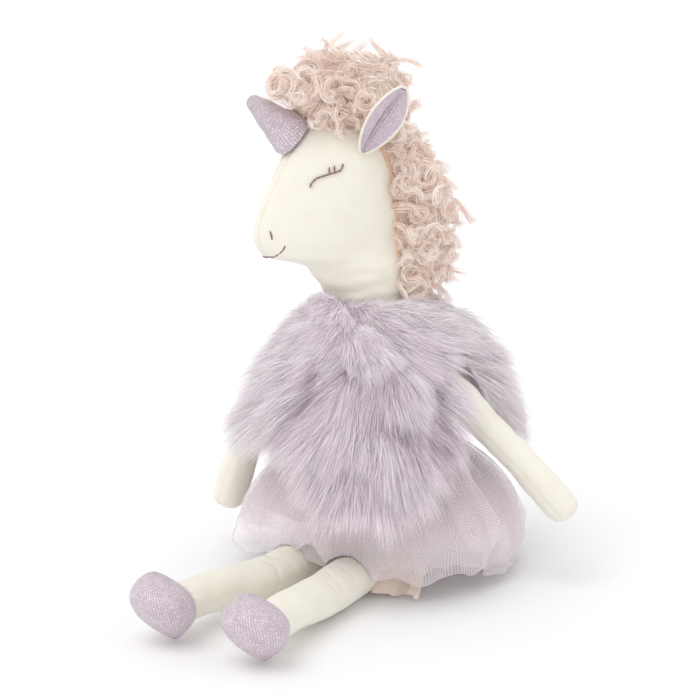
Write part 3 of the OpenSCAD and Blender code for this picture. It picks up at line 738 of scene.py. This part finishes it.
def normals_of(grid):
    n = np.cross(np.gradient(grid, axis=1), np.gradient(grid, axis=0))
    return unit(n)


CURL = dict(length=(8, 19), radius=(3.0, 6.8), turns=(1.0, 2.4), strands=24, points=32, droop=3.0,
            bundle=1.25)


def mane():
    """The nape's strip of mohair: a lumpy core with a warm orange cord along each edge as painted shade, and
    the ringlets on it.
    """
    z = np.linspace(170, 266, 60)
    a = np.linspace(140, 220, 50)
    zz, aa = np.meshgrid(z, a, indexing="ij")
    edge = 1 - (np.abs(aa - 180) / 40) ** 6
    p = head_point(zz, aa, 1.1)
    tall = 7 + 11 * ease((zz - 168) / 26) - 4 * ease((zz - 240) / 26)
    lump = tall * edge * (0.82 + 0.24 * waves(p, 15, 8))
    back = stack(-1, 0, 0.05)
    side = unit(head_point(zz, aa, 12.0) - head_point(zz, aa, 0.0))
    top = head_point(zz, aa, 1.1) + np.maximum(0, lump)[..., None] * (0.35 * side + 0.75 * back)
    o = sheet_mesh("mane_core", on_neck(top), MOHAIR_BACK)
    piece(o, "head", "mohair", "mane")
    # thin cords along both edges of the core, coloured as painted warm shade where the mane meets the head
    strip = [tube(on_neck(head_point(z, k, 0.8)), 0.9, 8) for k in (139.5, 220.5)]
    piece(join_grids("mane_edge_shade_cords", strip, MANE_EDGE_SHADE), "head", "mohair")
    n = normals_of(top)
    n = np.where((n * side).sum(-1, keepdims=True) < 0, -n, n)
    count = 430
    size = np.linalg.norm(np.cross(np.gradient(top, axis=0), np.gradient(top, axis=1)), axis=-1)
    near = (np.abs(aa - 180) > 30) * 0.7 + 1
    curly("mane_curls", top[2:, 1:-1].reshape(-1, 3), n[2:, 1:-1].reshape(-1, 3), 52, count, 0.30,
          share=(size * near)[2:, 1:-1].ravel(), **CURL)
    # short curls along both edges, that turn back from the face
    g = np.random.default_rng(56)
    m = 110
    row, col = g.integers(3, 58, m), np.where(g.random(m) < 0.5, g.integers(1, 8, m), g.integers(42, 49, m))
    lean = unit(n[row, col] * 0.5 + np.array([-0.8, 0, 0.0]) + g.normal(0, 0.35, (m, 3)))
    mohair("mane_edge_curls", top[row, col], lean, 57, length=(6, 12), radius=(2.4, 4.4), turns=(0.9, 1.9),
           strands=22, points=28, droop=2.0, bundle=1.1)


def forelock():
    """The mop of mohair over the crown."""
    a = np.linspace(0, TAU, 65)[:-1]
    f = np.linspace(0.02, 1, 30)
    ff, aa = np.meshgrid(f, a, indexing="ij")
    r = np.sin(np.pi / 2 * ff)
    ahead = np.maximum(0, np.cos(aa))
    dome = 268 + 5 * r * ahead + 29 * np.cos(np.pi / 2 * ff) ** 0.8
    p = stack(12 + 30 * r * np.cos(aa), 19 * r * np.sin(aa), dome)
    p = p + stack(1, 1, 1) * (2.6 * waves(p, 14, 9))[..., None]
    o = sheet_mesh("forelock_core", on_neck(p), MOHAIR_BACK, closed=True)
    piece(o, "head", "mohair", "forelock")
    n = normals_of(p)
    out = p - np.array([12, 0, 262.0])
    n = np.where((n * out).sum(-1, keepdims=True) < 0, -n, n)
    count = 370
    curly("forelock_curls", p[1:].reshape(-1, 3), n[1:].reshape(-1, 3), 62, count, 0.30, **CURL)
    # curls over the edge on the forehead, between the horn and the ears
    g = np.random.default_rng(64)
    m = 46
    u, v = g.uniform(4, 32, m), np.where(g.random(m) < 0.5, -1, 1) * g.uniform(2, 17, m)
    base = stack(u, v, 271 + g.uniform(0, 9, m) - 0.1 * np.abs(v))
    curly("forehead_curls", base, unit(stack(0.4, v / 16, 0.35)), 65, m * 2, 0.2,
          length=(6, 12), radius=(2.6, 4.2), turns=(1.2, 2.2), strands=20, points=32, droop=4.0, bundle=1.1)
    # loops that stand clear of the rest: where each starts, and the way its axis leans
    loops = [[34, 4, 291, 0.3, 0.9, 0.5], [29, -4, 293, -0.1, 0, 1], [22, 2, 295, 0.3, 0.9, 0.3],
             [16, 0, 295, 0, 0, 1], [0, 0, 294, 0.2, 0.9, 0.5], [-6, 4, 292, -0.2, 0.1, 1],
             [-10, -4, 290, -0.3, 0, 0.9], [40, 3, 284, 0.5, 0.8, 0.3], [44, -3, 282, 0.9, 0, 0.35],
             [36, 8, 286, 0.4, 0.8, 0.4], [-14, 3, 286, -0.5, 0.8, 0.5], [47, 5, 288, 0.4, 0.9, 0.2],
             [50, -2, 289, 0.3, 0.9, 0.3], [53, 3, 287, 0.5, 0.8, 0.3]]
    # three locks start above each other at each place
    base = np.repeat(np.array(loops, float), 3, 0)
    raised = stack(0, 0, np.tile([0, 2.5, 5], len(loops)))
    mohair("forelock_loops", base[:, :3] + raised, unit(base[:, 3:]), 63, length=(8, 18), radius=(4.5, 8),
           turns=(0.9, 1.5), strands=30, points=36, droop=0.0, bundle=1.0)


mane()
forelock()

# ---------------------------------------------------------------- arms

SHOULDER = {1: np.array([42, -14, 127.0]), -1: np.array([-42, -14, 127.0])}
ARM_PATH = {
    1: [[0, 0, 0], [15, 6.5, 16], [30, 13, 33], [46, 20, 50], [60, 25, 66], [70, 29, 78]],
    -1: [[0, 0, 0], [12, -5, 18], [24, -11, 37], [34, -14, 57], [42, -16, 78], [47, -17, 93]],
}
ARM_HALF = np.array([9, 9.8, 9.5, 9.2, 10.1, 9.8])


def arm(side, word):
    """A stuffed arm with a seam along each edge and a round end."""
    steps = np.array(ARM_PATH[side], float)
    keys = np.column_stack([SHOULDER[side][0] + side * steps[:, 0], SHOULDER[side][1] + steps[:, 1],
                            SHOULDER[side][2] - steps[:, 2], ARM_HALF])
    n = 64
    k = smooth(keys, np.linspace(0, 1, 80))
    path, r = k[:, :3], k[:, 3]
    t = tangents(path)
    start = [path[0] + t[0] * r[0] * math.sin(rad(e)) for e in range(-84, -5, 12)]
    r0 = [r[0] * math.cos(rad(e)) for e in range(-84, -5, 12)]
    end = [path[-1] + t[-1] * r[-1] * 0.78 * math.sin(rad(e)) for e in range(6, 87, 8)]
    r1 = [r[-1] * math.cos(rad(e)) for e in range(6, 87, 8)]
    full = np.concatenate([start, path, end])
    rr = np.concatenate([r0, r, r1])
    tt = np.concatenate([np.repeat(t[:1], len(start), 0), t, np.repeat(t[-1:], len(end), 0)])
    wide = np.array([0, 1.0, 0])
    sd = unit(wide - tt * (tt @ wide)[:, None])
    up = np.cross(sd, tt)
    a = TAU * np.arange(n) / n
    unit_ring = sd[:, None] * np.cos(a)[None, :, None] + up[:, None] * np.sin(a)[None, :, None]
    p = full[:, None] + unit_ring * rr[:, None, None]
    seam = np.minimum(np.minimum(a, TAU - a), np.abs(a - np.pi))[None] * rr[:, None]
    along = np.concatenate([[0], np.cumsum(np.linalg.norm(np.diff(full, axis=0), axis=1))])[:, None]
    grow = seam_relief(seam, along, 0.4, 1.1, 0.13)
    grow = grow + 0.4 * waves(p, 26, 31 + side) + 0.16 * waves(p, 9, 33 + side)
    p = p + unit_ring * (grow * np.minimum(1, rr / 6)[:, None])[..., None]
    o = sheet_mesh(f"arm_{word}_cloth", seal(p), CREAM, closed=True, flip=True)
    piece(o, f"arm_{word}", "cream_cotton", f"arm_{word}_skin", f"arm_{word}_stuffing")


arm(1, "left")
arm(-1, "right")

# ---------------------------------------------------------------- legs and hooves

LEG_KEYS = [[3.2, 12.2, 2.6], [9, 12.8, 6.2], [18, 13.3, 10.5], [30, 13.5, 12.8], [55, 13.2, 12.6],
            [80, 12.5, 12], [100, 12, 11.6], [124, 11.5, 11.2]]


HIP = (15.5, -37.5, 12.0)  # a hip's place on the doll's left; the right one mirrors it
SPLAY = 6.0  # degrees that each leg points outwards


def on_hip(p, side):
    """Points of a leg, which runs towards the front from its hip, to the part's axes."""
    t = rad(SPLAY * side)
    c, s = math.cos(t), math.sin(t)
    x, y, z = p[..., 0], p[..., 1], p[..., 2]
    return stack(c * x - s * y + HIP[0] * side, s * x + c * y + HIP[1], z + HIP[2])


def leg(side, word):
    """A stuffed leg with soft folds at mid length, drawn in at the ankle."""
    d = np.linspace(3.2, 127.5, 134)
    a = TAU * np.arange(72) / 72
    dd, aa = np.meshgrid(d, a, indexing="ij")
    k = at(LEG_KEYS, dd)
    mid = np.maximum(12, k[..., 2] + 0.6) - 12 + 8 * ease((dd - 45) / 75)
    flat = stack(np.cos(aa), 0, np.sin(aa))
    p = stack(k[..., 1] * np.cos(aa), -dd, mid + k[..., 2] * np.sin(aa))
    world = on_hip(p, side)
    seam = np.minimum(aa, np.minimum(TAU - aa, np.abs(aa - np.pi))) * 12
    grow = seam_relief(seam, dd, 0.4, 1.0, 0.14)
    grow += 0.35 * waves(world, 30, 41 + side)
    # folds where the leg bends a little over its filling
    bend = bump(dd, 58, 16) * np.maximum(0, np.sin(aa)) ** 0.5
    grow += -0.75 * bend * np.maximum(0, np.sin((dd + 3 * waves(world, 24, 43)) * TAU / 11)) ** 3
    grow += 0.3 * np.sin(aa * 17 + 2 * waves(world, 14, 44)) * bump(dd, 125, 5.5)
    grow *= ease((dd - 3) / 10)
    down = np.minimum(0, np.sin(aa)) ** 2
    grow = np.where(grow > 0, grow * (1 - 0.9 * down), grow)
    p = p + flat * grow[..., None]
    o = sheet_mesh(f"leg_{word}_cloth", seal(on_hip(p, side)), CREAM, closed=True, flip=True)
    piece(o, f"leg_{word}", "cream_cotton", f"leg_{word}_skin", f"leg_{word}_stuffing")


def hoof(side, word):
    """A padded teardrop of glitter knit. Its rows run from the top round to the point at the bottom."""
    t = np.linspace(0.00005, 0.9999, 90)
    a = np.linspace(0, TAU, 97)
    tt, aa = np.meshgrid(t, a, indexing="ij")
    top = np.sin(np.pi / 2 * np.clip(tt / 0.44, 0, 1)) ** 0.72
    low = np.cos(np.pi / 2 * np.clip((tt - 0.44) / 0.56, 0, 1)) ** 0.86
    f = np.where(tt < 0.44, top, low)
    front = 16.5 * np.where(np.cos(aa) > 0, 1.0, 0.84)
    z = 44.0 * (1 - tt)
    y = f * front * np.cos(aa)
    x = f * 19 * np.sin(aa)
    lean = 0.36 * (z - 22)
    p = stack(x, -(140.0 + y + lean), z - 12 + 0.6)
    out = stack(np.sin(aa), -np.cos(aa), 0)
    p = p + out * (0.35 * waves(p, 16, 71 + side) * f)[..., None]
    # the side seam
    seam = np.abs(np.abs(aa - np.pi) - np.pi / 2) * 18 * f
    p = p - out * (0.5 * bump(seam, 0, 0.9) * np.minimum(1, f * 3))[..., None]
    uv = np.stack([aa / TAU * 68, tt * 46], -1)
    o = sheet_mesh(f"hoof_{word}_cloth", on_hip(p, side), KNIT, uv=uv, flip=True)
    piece(o, f"leg_{word}", "glitter_knit", f"hoof_{word}_skin", f"hoof_{word}_stuffing")


for side, word in ((1, "left"), (-1, "right")):
    leg(side, word)
    hoof(side, word)

# ---------------------------------------------------------------- torso

TORSO_KEYS = [  # height, y of the middle, radius
    [0, 0, 30], [4, 0, 31.8], [12, -1, 35], [24, -2, 37], [52, -6, 34.5], [76, -10, 31], [100, -14, 31.5],
    [124, -18, 31], [137, -19.5, 27], [147, -20, 20.5], [150, -20, 16],
]


def torso():
    """The cotton shell and the round panel that closes it at the seat."""
    z = np.linspace(1.6, 150, 110)
    a = TAU * np.arange(96) / 96
    zz, aa = np.meshgrid(z, a, indexing="ij")
    k = at(TORSO_KEYS, zz)
    p = stack(k[..., 2] * np.cos(aa), k[..., 1] + k[..., 2] * np.sin(aa), zz)
    seam = np.min([np.abs(np.angle(np.exp(1j * (aa - s)))) for s in (0, np.pi, np.pi / 2)], axis=0) * 30
    r = k[..., 2] - 0.5 * bump(seam, 0, 1) + 0.35 * waves(p, 30, 81)
    p = stack(r * np.cos(aa), k[..., 1] + r * np.sin(aa), zz)
    o = sheet_mesh("torso_cloth", p, CREAM, closed=True)
    piece(o, "torso", "cream_cotton", "torso_skin")
    r = np.linspace(0.3, 31.2, 20)
    rr, aa = np.meshgrid(r, a, indexing="ij")
    lift = 1.2 * ease((rr - 29) / 2.2) + 0.02
    p = stack(rr * np.cos(aa), rr * np.sin(aa), lift)
    piece(sheet_mesh("seat_cloth", p, CREAM, closed=True, flip=True), "torso", "cream_cotton", "seat_panel")


torso()

# ---------------------------------------------------------------- skirt


def skirt_low(a):
    """Height of the hem at angle a, in degrees from the front towards the doll's left."""
    c = around(a)
    b = np.abs(c)
    return 12 - 9 * ease((b - 30) / 20) + 10 * bump(c, 60, 17) + 17 * bump(c, -62, 15)


def skirt_point(a, s, lift, folds, depth, seed):
    """Point of a gathered layer: a round the waist, s from the waistband to the hem."""
    low = skirt_low(a)
    g = np.random.default_rng(seed)
    ph = g.uniform(0, TAU, 4)
    p1 = np.sin(rad(a) * folds + ph[0] + 0.8 * np.sin(rad(a) * 3 + ph[1]))
    p2 = np.sin(rad(a) * round(folds * 1.7) + ph[2] + 0.7 * np.sin(rad(a) * 5 + ph[3]))
    ripple = depth * (0.12 + 0.88 * s**0.8) * (0.65 * p1 + 0.35 * p2)
    # the front lies flatter, and falls further forward between and over the thighs
    front = 1 - 0.2 * s * np.maximum(0, np.cos(rad(a))) ** 2
    c = around(a)
    puff = 12 * bump(c, 112, 48) * np.sin(np.pi * np.minimum(1, s) ** 0.8) + 10 * bump(c, -56, 15) * s**2
    puff = puff + 13 * bump(c, -3, 22) * ease((s - 0.55) / 0.45)
    r = 35.4 + lift + 36 * np.sin(np.pi / 2 * np.minimum(1, s * 1.1)) + ripple + puff
    z = 78 + lift * 0.3 - (78 - low) * s + s * p2
    return stack(r * np.sin(rad(a)), -10 * (1 - s) - r * front * np.cos(rad(a)), np.maximum(z, 1.2))


def on_thighs(p, gap):
    """Cloth that would pass through a thigh is lifted on to it."""
    p = p.copy()
    for side in (1, -1):
        t = rad(SPLAY * side)
        x, y = p[..., 0] - HIP[0] * side, p[..., 1] - HIP[1]
        across, d = math.cos(t) * x + math.sin(t) * y, math.sin(t) * x - math.cos(t) * y
        k = at(LEG_KEYS, np.clip(d, 3.3, 118))
        wide, high = k[..., 1] + gap, k[..., 2] + gap
        mid = np.maximum(12, k[..., 2] + 0.6) + 8 * ease((d - 45) / 75)
        f = np.clip(np.abs(across) / wide, 0, 1)
        top = mid + high * np.sqrt(np.clip(1 - f * f, 0, 1))
        low = (f < 1) & (d > 2) & (p[..., 2] < top)
        p[..., 2] = np.where(low, top, p[..., 2])
    return p


def ring_layer(name, lift, folds, depth, seed, s1, material, slot, node):
    """A layer of the skirt that goes all the way round, down to place s1 of the whole length."""
    a = np.linspace(0, 360, 721)
    s = np.linspace(0, s1, 60)
    ss, aa = np.meshgrid(s, a, indexing="ij")
    p = skirt_point(aa, ss, lift, folds, depth, seed)
    p = p + 0.5 * stack(1, 1, 0) * (ss * waves(p, 13, seed + 5))[..., None]
    p = on_thighs(p, 0.6 + lift * 0.1)
    p[..., 2] = np.maximum(p[..., 2], 1.0)
    uv = np.stack([aa * 1.5, ss * 92], -1)
    o = sheet_mesh(name, p, material, uv=uv)
    piece(o, "torso", slot, node)
    flat_size(p)


ring_layer("lining_cloth", 0.6, 13, 1.6, 91, 0.6, SATIN, "skirt_satin", "skirt_lining")
ring_layer("organza_cloth", 2.6, 17, 2.0, 92, 0.74, ORGANZA_IN, "peach_organza", "underskirt_organza")
ring_layer("tulle_inner_cloth", 5.2, 19, 3.0, 93, 0.9, TULLE_IN, "glitter_tulle", "tulle_inner")


def petals():
    """The outer tulle: wide panels with round lower corners that lie over each other."""
    spec = [(-48, 82), (41, 76), (108, 66), (170, 62), (228, 64)]
    grids = []
    for k, (mid, half) in enumerate(spec):
        w = np.linspace(-1, 1, 200)
        s = np.linspace(0, 1, 64)
        ss, ww = np.meshgrid(s, w, indexing="ij")
        # the sides draw in towards the hem, as a round corner does
        corner = 1 - 0.24 * ease((ss - 0.5) / 0.5) ** 2
        a = mid + half * 0.62 * ww * corner
        s2 = ss * (1 - 0.10 * np.abs(ww) ** 5)
        p = skirt_point(a, s2, 8.0 + 1.8 * (k % 2), 15, 2.6, 94)
        p = p + 0.7 * stack(1, 1, 0) * (s2 * waves(p, 16, 97 + k))[..., None]
        p = on_thighs(p, 1.5 + 0.2 * (k % 2))
        p[..., 2] = np.maximum(p[..., 2], 1.0)
        grids.append((p, np.stack([a * 1.5 + 60 * k, s2 * 92], -1)))
    verts = np.concatenate([g.reshape(-1, 3) for g, _ in grids])
    uvs = np.concatenate([u.reshape(-1, 2) for _, u in grids])
    size = grids[0][0].shape[0] * grids[0][0].shape[1]
    faces = np.concatenate([grid_faces(64, 200) + k * size for k in range(len(grids))])
    # a narrow rolled edge along the sides and the hem of each panel
    edges = [np.concatenate([g[6:, 0], g[-1, 1:-1], g[:5:-1, -1]]) for g, _ in grids]
    rolls = join_grids("tulle_edge_rolls", [tube(e[::2], 0.32, 6) for e in edges], ROLL)
    piece(rolls, "torso", "glitter_tulle")
    o = make("tulle_outer_cloth", verts, faces, TULLE, uv=uvs)
    piece(o, "torso", "glitter_tulle", "tulle_outer")
    total = sum(cloth_area(g) for g, _ in grids)


petals()


def organza_corner():
    """The crumpled edge of the organza underskirt that shows beside the left thigh."""
    u, v = np.meshgrid(np.linspace(0, 1, 90), np.linspace(0, 1, 60), indexing="ij")
    fold = np.sin(u * 7 + 1.2 * v) * (0.3 + 0.7 * v)
    edge = 1 - 0.12 * np.sin(u * 5 + 1) ** 2
    x = 29 + 24 * u + 5 * v * (u - 0.4)
    y = -47 - 12 * v - 2.6 * fold + 10 * u
    z = 22 - 19.5 * v * edge + 0.5 * fold * v
    p = stack(x, y, z)
    p = p + stack(0.4, 1, 0.2) * (1.2 * waves(p, 10, 99) * (0.3 + v))[..., None]
    p[..., 2] = np.maximum(p[..., 2], 0.6)
    o = sheet_mesh("organza_edge_cloth", p, ORGANZA, uv=np.stack([u * 40, v * 30], -1))
    piece(o, "torso", "peach_organza")
    flat_size(p)


organza_corner()


def waistband():
    """Elastic band in three ridges."""
    t = np.linspace(0, TAU, 121)
    ridge = tube(stack(34.6 * np.sin(t), -10 - 34.6 * np.cos(t), 80), 1.2, 10, ends=False)
    o = join_grids("waistband_cloth", [ridge + np.array([0, 0, k]) for k in (-2.2, 0, 2.2)], SATIN)
    piece(o, "torso", "skirt_satin", "skirt_waistband")


waistband()

# ---------------------------------------------------------------- stole

COLLAR = -0.11  # where the collar's edge is, as a place on the stole


def cape_point(a, s, lift):
    """Point of the stole: angle from the front towards the doll's left, s from collar to hem."""
    c = around(a)
    sp = np.maximum(s, 0)
    full = np.sin(np.pi * np.clip(sp, 0, 1) * 0.62)
    lean = np.cos(rad(c - 122))
    lean = np.where(lean > 0, 3.0, 10.0) * np.maximum(lean, -0.9) * full
    r = 26.5 + 38 * sp ** 1.2 + 60 * np.minimum(s, 0) + lean + lift
    # over the right shoulder the stole slopes down close to the arm, then stands off at its hem
    r = r + 8 * bump(c, -62, 34) * ease((sp - 0.5) / 0.5) - 6 * bump(c, -70, 46) * bump(sp, 0.24, 0.3)
    z = 163 - 4 * s - 70 * s * s + lift * 0.55 - 5 * bump(c, -100, 40) * (1 - ease(sp / 0.5))
    return stack(r * np.sin(rad(a)), -20 + 11 * s - r * np.cos(rad(a)), z)


def hem(a):
    """Place of the stole's hem at angle a: high over each arm, and longest beside the knot."""
    c = around(a)
    off = np.minimum(np.abs(c - 85.5) - 10.5, np.abs(c + 88) - 20)
    return 0.52 + 0.44 * ease(off / 12) + 0.17 * bump(c, 26, 26)


def fur(name, roots, dirs, g, length, gravity, clumps, strength, seed, shadow=0.0, reach=1.0, grey=0.0):
    """Pile: strands that start at roots along dirs, hang a little and gather into locks."""
    n = len(roots)
    pts = 6
    t = np.linspace(0, 1, pts)[None, :, None]
    ln = (g.uniform(*length, size=n) * reach * (1 + 0.18 * waves(roots, 14, seed)))[:, None, None]
    wild = np.where(g.random(n) < 0.1, 0.36, 0.15)[:, None]
    dirs = unit(dirs + wild * g.normal(size=(n, 3)))
    sway = stack(waves(roots, 18, seed + 1), waves(roots, 18, seed + 2), waves(roots, 18, seed + 3)) * 0.26
    dirs = unit(dirs + sway)
    p = roots[:, None] + dirs[:, None] * ln * t + np.array([0, 0, -1.0]) * gravity * ln * t * t
    pick = g.choice(n, size=min(clumps, n), replace=False)
    tree = kdtree.KDTree(len(pick))
    for i, k in enumerate(pick):
        tree.insert(roots[k], i)
    tree.balance()
    near = np.array([tree.find(r)[1] for r in roots])
    lead = p[pick][near]
    pull = strength * g.uniform(0.4, 1.15, size=n)[:, None, None] * t**1.3
    p = p + (lead - p) * np.clip(pull, 0, 0.95)
    p = p + g.normal(0, 0.5, size=(n, 1, 3)) * t
    wd = g.uniform(0.2, 0.32, size=(n, 1)) * (1 - t[..., 0] ** 1.8) ** 0.7 + 0.03
    mood = g.random(len(pick))[near] * 0.45 + g.random(n) * 0.55 - shadow
    choice = np.digitize(mood, [0.1, 0.5, 0.72])
    # the pile of the sides is more silver than that of the breast
    choice = np.where((choice == 1) & (g.random(n) < grey), 2, choice)
    return strand_pieces(name, p, wd, 2, FUR, choice, "torso", seed)


def parting(s):
    """The angle at which the stole's two sides part, from the collar down to the loop."""
    return 2 + 30 * ease((s + 0.08) / 0.7)


def flow_dirs(a, s, tail=False):
    """Direction of the pile: away from the knot, down, and off the surface."""
    e = 0.01
    down = unit(cape_point(a, s + e, 6) - cape_point(a, s, 6))
    round_ = unit(cape_point(a + 0.5, s, 6) - cape_point(a - 0.5, s, 6))
    out = unit(np.cross(round_, down))
    flat = unit(cape_point(a, s, 12) - cape_point(a, s, 4))
    out = np.where((out * flat).sum(-1, keepdims=True) < 0, -out, out)
    away = around(a - parting(s))
    knot = (np.clip(s, 0, 1.1) - 0.6) * 75
    far = np.sqrt(away**2 + knot**2) + 1e-6
    # near the knot the pile streams straight away from it; further off it hangs more and more
    hang = 0.2 + 0.8 * ease((np.abs(away) - np.where(away > 0, 55, 40)) / 70)
    swirl = 1.15 * away / far * np.exp(-np.abs(away) / 95)
    drop = np.clip(0.25 + 0.75 * knot / far, 0.12, 1) * (1 - hang) + hang
    if tail:
        swirl = np.clip(away / 22, -1, 1) * 0.32
        drop = 1.0
    lift = 0.4 if tail else 0.22 + 0.28 * ease(s / 0.9)
    p = down * 0.9 * np.asarray(drop)[..., None] + round_ * swirl[..., None]
    return p + out * np.asarray(lift)[..., None]


def backing(name, a0, a1, s0, s1, lift, node, cols):
    """The cloth under the pile. Gives the object and its grid."""
    a = np.linspace(a0, a1, cols)
    f = np.linspace(0, 1, 40)
    ff, aa = np.meshgrid(f, a, indexing="ij")
    s = s0 + (hem(aa) * s1 - s0) * ff
    flare = np.maximum(0, s - 1) * 14
    p = cape_point(aa, s, lift + flare)
    p = p + stack(1, 1, 1) * (0.8 * waves(p, 24, 101))[..., None]
    o = sheet_mesh(name, p, FUR_BACK)
    piece(o, "torso", "faux_fur", node)
    return o, p


def fur_area(name, a0, a1, s0, s1, lift, count, seed, length, clumps, tail=False, strength=0.45):
    """Pile over part of the stole, between two angles and from place s0 to s1 of the hem."""
    g = np.random.default_rng(seed)
    n = count
    a = g.uniform(a0, a1, n * 3)
    f = g.random(n * 3)
    s = s0 + (hem(a) * s1 - s0) * f
    # keep strands in proportion to the area that each stands for
    r = 26.5 + 38 * np.maximum(s, 0) ** 0.75 + lift
    keep = g.random(n * 3) < r / 75 * (hem(a) * s1 - s0) / (0.96 * s1 - s0)
    a, s = a[keep][:n], s[keep][:n]
    from_part = around(a - parting(s))
    # the doll's right side folds over the left at the parting, and leaves a gap below its edge
    above_knot = 1 - ease((s - 0.5) / 0.15)
    ridge = (3.0 * bump(from_part, -8, 6) - 5 * bump(from_part, 4, 4.5)) * above_knot
    # clefts in the pile: left of the tail, within it, at its right, and below the rolled edge
    slots = (1.1 * bump(a + 54 * (s - 0.58), 16, 5.5) * bump(s, 0.7, 0.14)
             + bump(a - 61 * (s - 0.72), 33, 4.5) * bump(s, 0.82, 0.1)
             + 0.8 * bump(a, 56, 4.5) * bump(s, 0.8, 0.14)
             + 0.4 * bump(a, 22 + 26 * s, 3) * bump(s, 0.3, 0.2))
    high = lift + np.maximum(0, s - 1) * 14 + (0 if tail else 1) * ridge - 5.5 * slots
    roots = cape_point(a, s, high)
    shadow = bump(from_part, 4, 3) * above_knot + slots
    # the pile is short at the collar, over the right shoulder's top, at the parting and in the clefts
    c = around(a)
    reach = 0.42 + 0.58 * ease(s / 0.7)
    reach = reach * (1 - 0.35 * bump(c, -80, 45) * (1 - ease(s / 0.3)))
    reach = reach * (1 + 0.12 * bump(c, 118, 45) * ease(s / 0.4))
    reach = reach * (1 - 0.5 * np.minimum(slots, 1.2))
    reach = reach * (1 - 0.35 * bump(from_part, 2, 8) * (1 - ease((s - 0.5) / 0.2)))
    return fur(name, roots, flow_dirs(a, s, tail), g, length, 0.2 if tail else 0.3, clumps, strength, seed,
               shadow, reach, 0.75 * ease((np.abs(from_part) - 28) / 25))


def stole():
    """The stole's panels: backing and pile. An area is [first angle, last angle]."""
    panels = [("back", "stole_back", [74, 316], [73, 317], 5.5, 200, 80000, 111, 2600),
              ("left", "stole_left_front", [20, 74], [10, 75], 5.5, 80, 22000, 112, 740),
              ("right", "stole_right_front", [-44, 22], [-45, 24], 7.0, 60, 26000, 113, 840)]
    for word, node, cloth, pile, lift, cols, count, seed, clumps in panels:
        o, p = backing(f"stole_{word}_backing", *cloth, COLLAR, 1, lift, node, cols)
        hair_ = fur_area(f"stole_{word}_fur", *pile, COLLAR, 1, lift, count, seed, (21, 30), clumps)
        flat_size(p)
    o, p = backing("stole_tail_backing", 14, 50, 0.55, 1.02, 8.5, "stole_tail", 50)
    hair_ = fur_area("stole_tail_fur", 16, 50, 0.6, 1.02, 10.5, 16000, 114, (20, 30), 740, True, 0.5)
    flat_size(p)


stole()


def roll(name, stations, node, seed, count, length, bias):
    """A folded band of fur on the stole, through stations.

    A station is [angle, place, height off the stole, half width, half depth].
    """
    keys = [[*cape_point(np.array(float(a)), np.array(f), lift), w, t] for a, f, lift, w, t in stations]
    k = smooth(keys, np.linspace(0, 1, 40))
    grid = tube(k[:, :3], k[:, 3:5], 28, wide=(0.6, 0.1, 0.8))
    o = sheet_mesh(f"{name}_backing", grid, FUR_BACK, closed=True)
    piece(o, "torso", "faux_fur", *node)
    g = np.random.default_rng(seed)
    n = count
    i = g.integers(3, len(grid) - 3, n)
    j = g.integers(0, grid.shape[1], n)
    roots = grid[i, j] + g.normal(0, 0.5, size=(n, 3))
    out = unit(grid[i, j] - grid.mean(1)[i])
    front = out @ unit(np.array([0.5, -0.8, 0.2])) > -0.3
    roots, out, i = roots[front], out[front], i[front]
    along = unit(np.gradient(grid.mean(1), axis=0))[i]
    dirs = out * 0.4 + along * 0.75 + np.array(bias)
    fur(f"{name}_fur", roots, dirs, g, length, 0.15, 300, 0.5, seed + 1)


# the band that the stole's end is pulled through, and the rolled edge of the right front above it
LOOP = [[18, 0.40, 6, 5, 3], [24, 0.47, 13, 8, 5], [31, 0.55, 17, 9.5, 6.5], [37, 0.63, 15, 9, 6],
        [43, 0.71, 7, 5, 3]]
EDGE = [[-12, -0.06, 4, 3, 3], [-2, 0.06, 9, 4.5, 4], [8, 0.2, 12, 5, 4.5], [15, 0.34, 13, 5, 4.5],
        [19, 0.47, 11, 4.5, 4]]
roll("stole_loop", LOOP, ["stole_loop"], 115, 12000, (8, 13), (0, 0, -0.35))
roll("stole_edge", EDGE, [], 125, 7000, (6, 10), (-0.5, -0.1, -0.1))

# ---------------------------------------------------------------- room, lights and camera


def room():
    """A pale floor, an even white sky and one large soft lamp in front and above."""
    s = 9000
    p = np.array([[[-s, -s, 0], [s, -s, 0]], [[-s, s, 0], [s, s, 0]]], float)
    paint = Paint("floor", (250, 250, 251), 0.9)
    paint.put(paint.b.inputs["Normal"], paint.relief(paint.noise(4.0, 1.0), 0.0005, 0.02))
    o = sheet_mesh("floor", p, paint.m)
    world = bpy.data.worlds.new("studio")
    bpy.context.scene.world = world
    world.use_nodes = True
    back = world.node_tree.nodes["Background"]
    back.inputs[0].default_value = (1.0, 1.0, 1.0, 1)
    back.inputs[1].default_value = 0.88
    lamp = bpy.data.lights.new("key", "SUN")
    lamp.angle = math.radians(40)
    lamp.energy = 0.85
    o = bpy.data.objects.new("key", lamp)
    o.location = (-0.1, -0.7, 1.45)
    o.rotation_euler = (Vector((0, 0, 0.13)) - o.location).to_track_quat("-Z", "Y").to_euler()
    bpy.context.scene.collection.objects.link(o)


room()
scene = bpy.context.scene
scene.view_settings.view_transform = "Standard"
cam = bpy.data.cameras.new("camera")
cam.lens = 119
cam.sensor_width = 36
cam.clip_end = 50
eye = bpy.data.objects.new("camera", cam)
target = Vector((-0.0041, -0.0291, 0.136))
az, el, dist = math.radians(32), math.radians(15), 1.330
away = Vector((math.cos(el) * math.sin(az), -math.cos(el) * math.cos(az), math.sin(el)))
eye.location = target + away * dist
eye.rotation_euler = (-away).to_track_quat("-Z", "Y").to_euler()
scene.collection.objects.link(eye)
scene.camera = eye
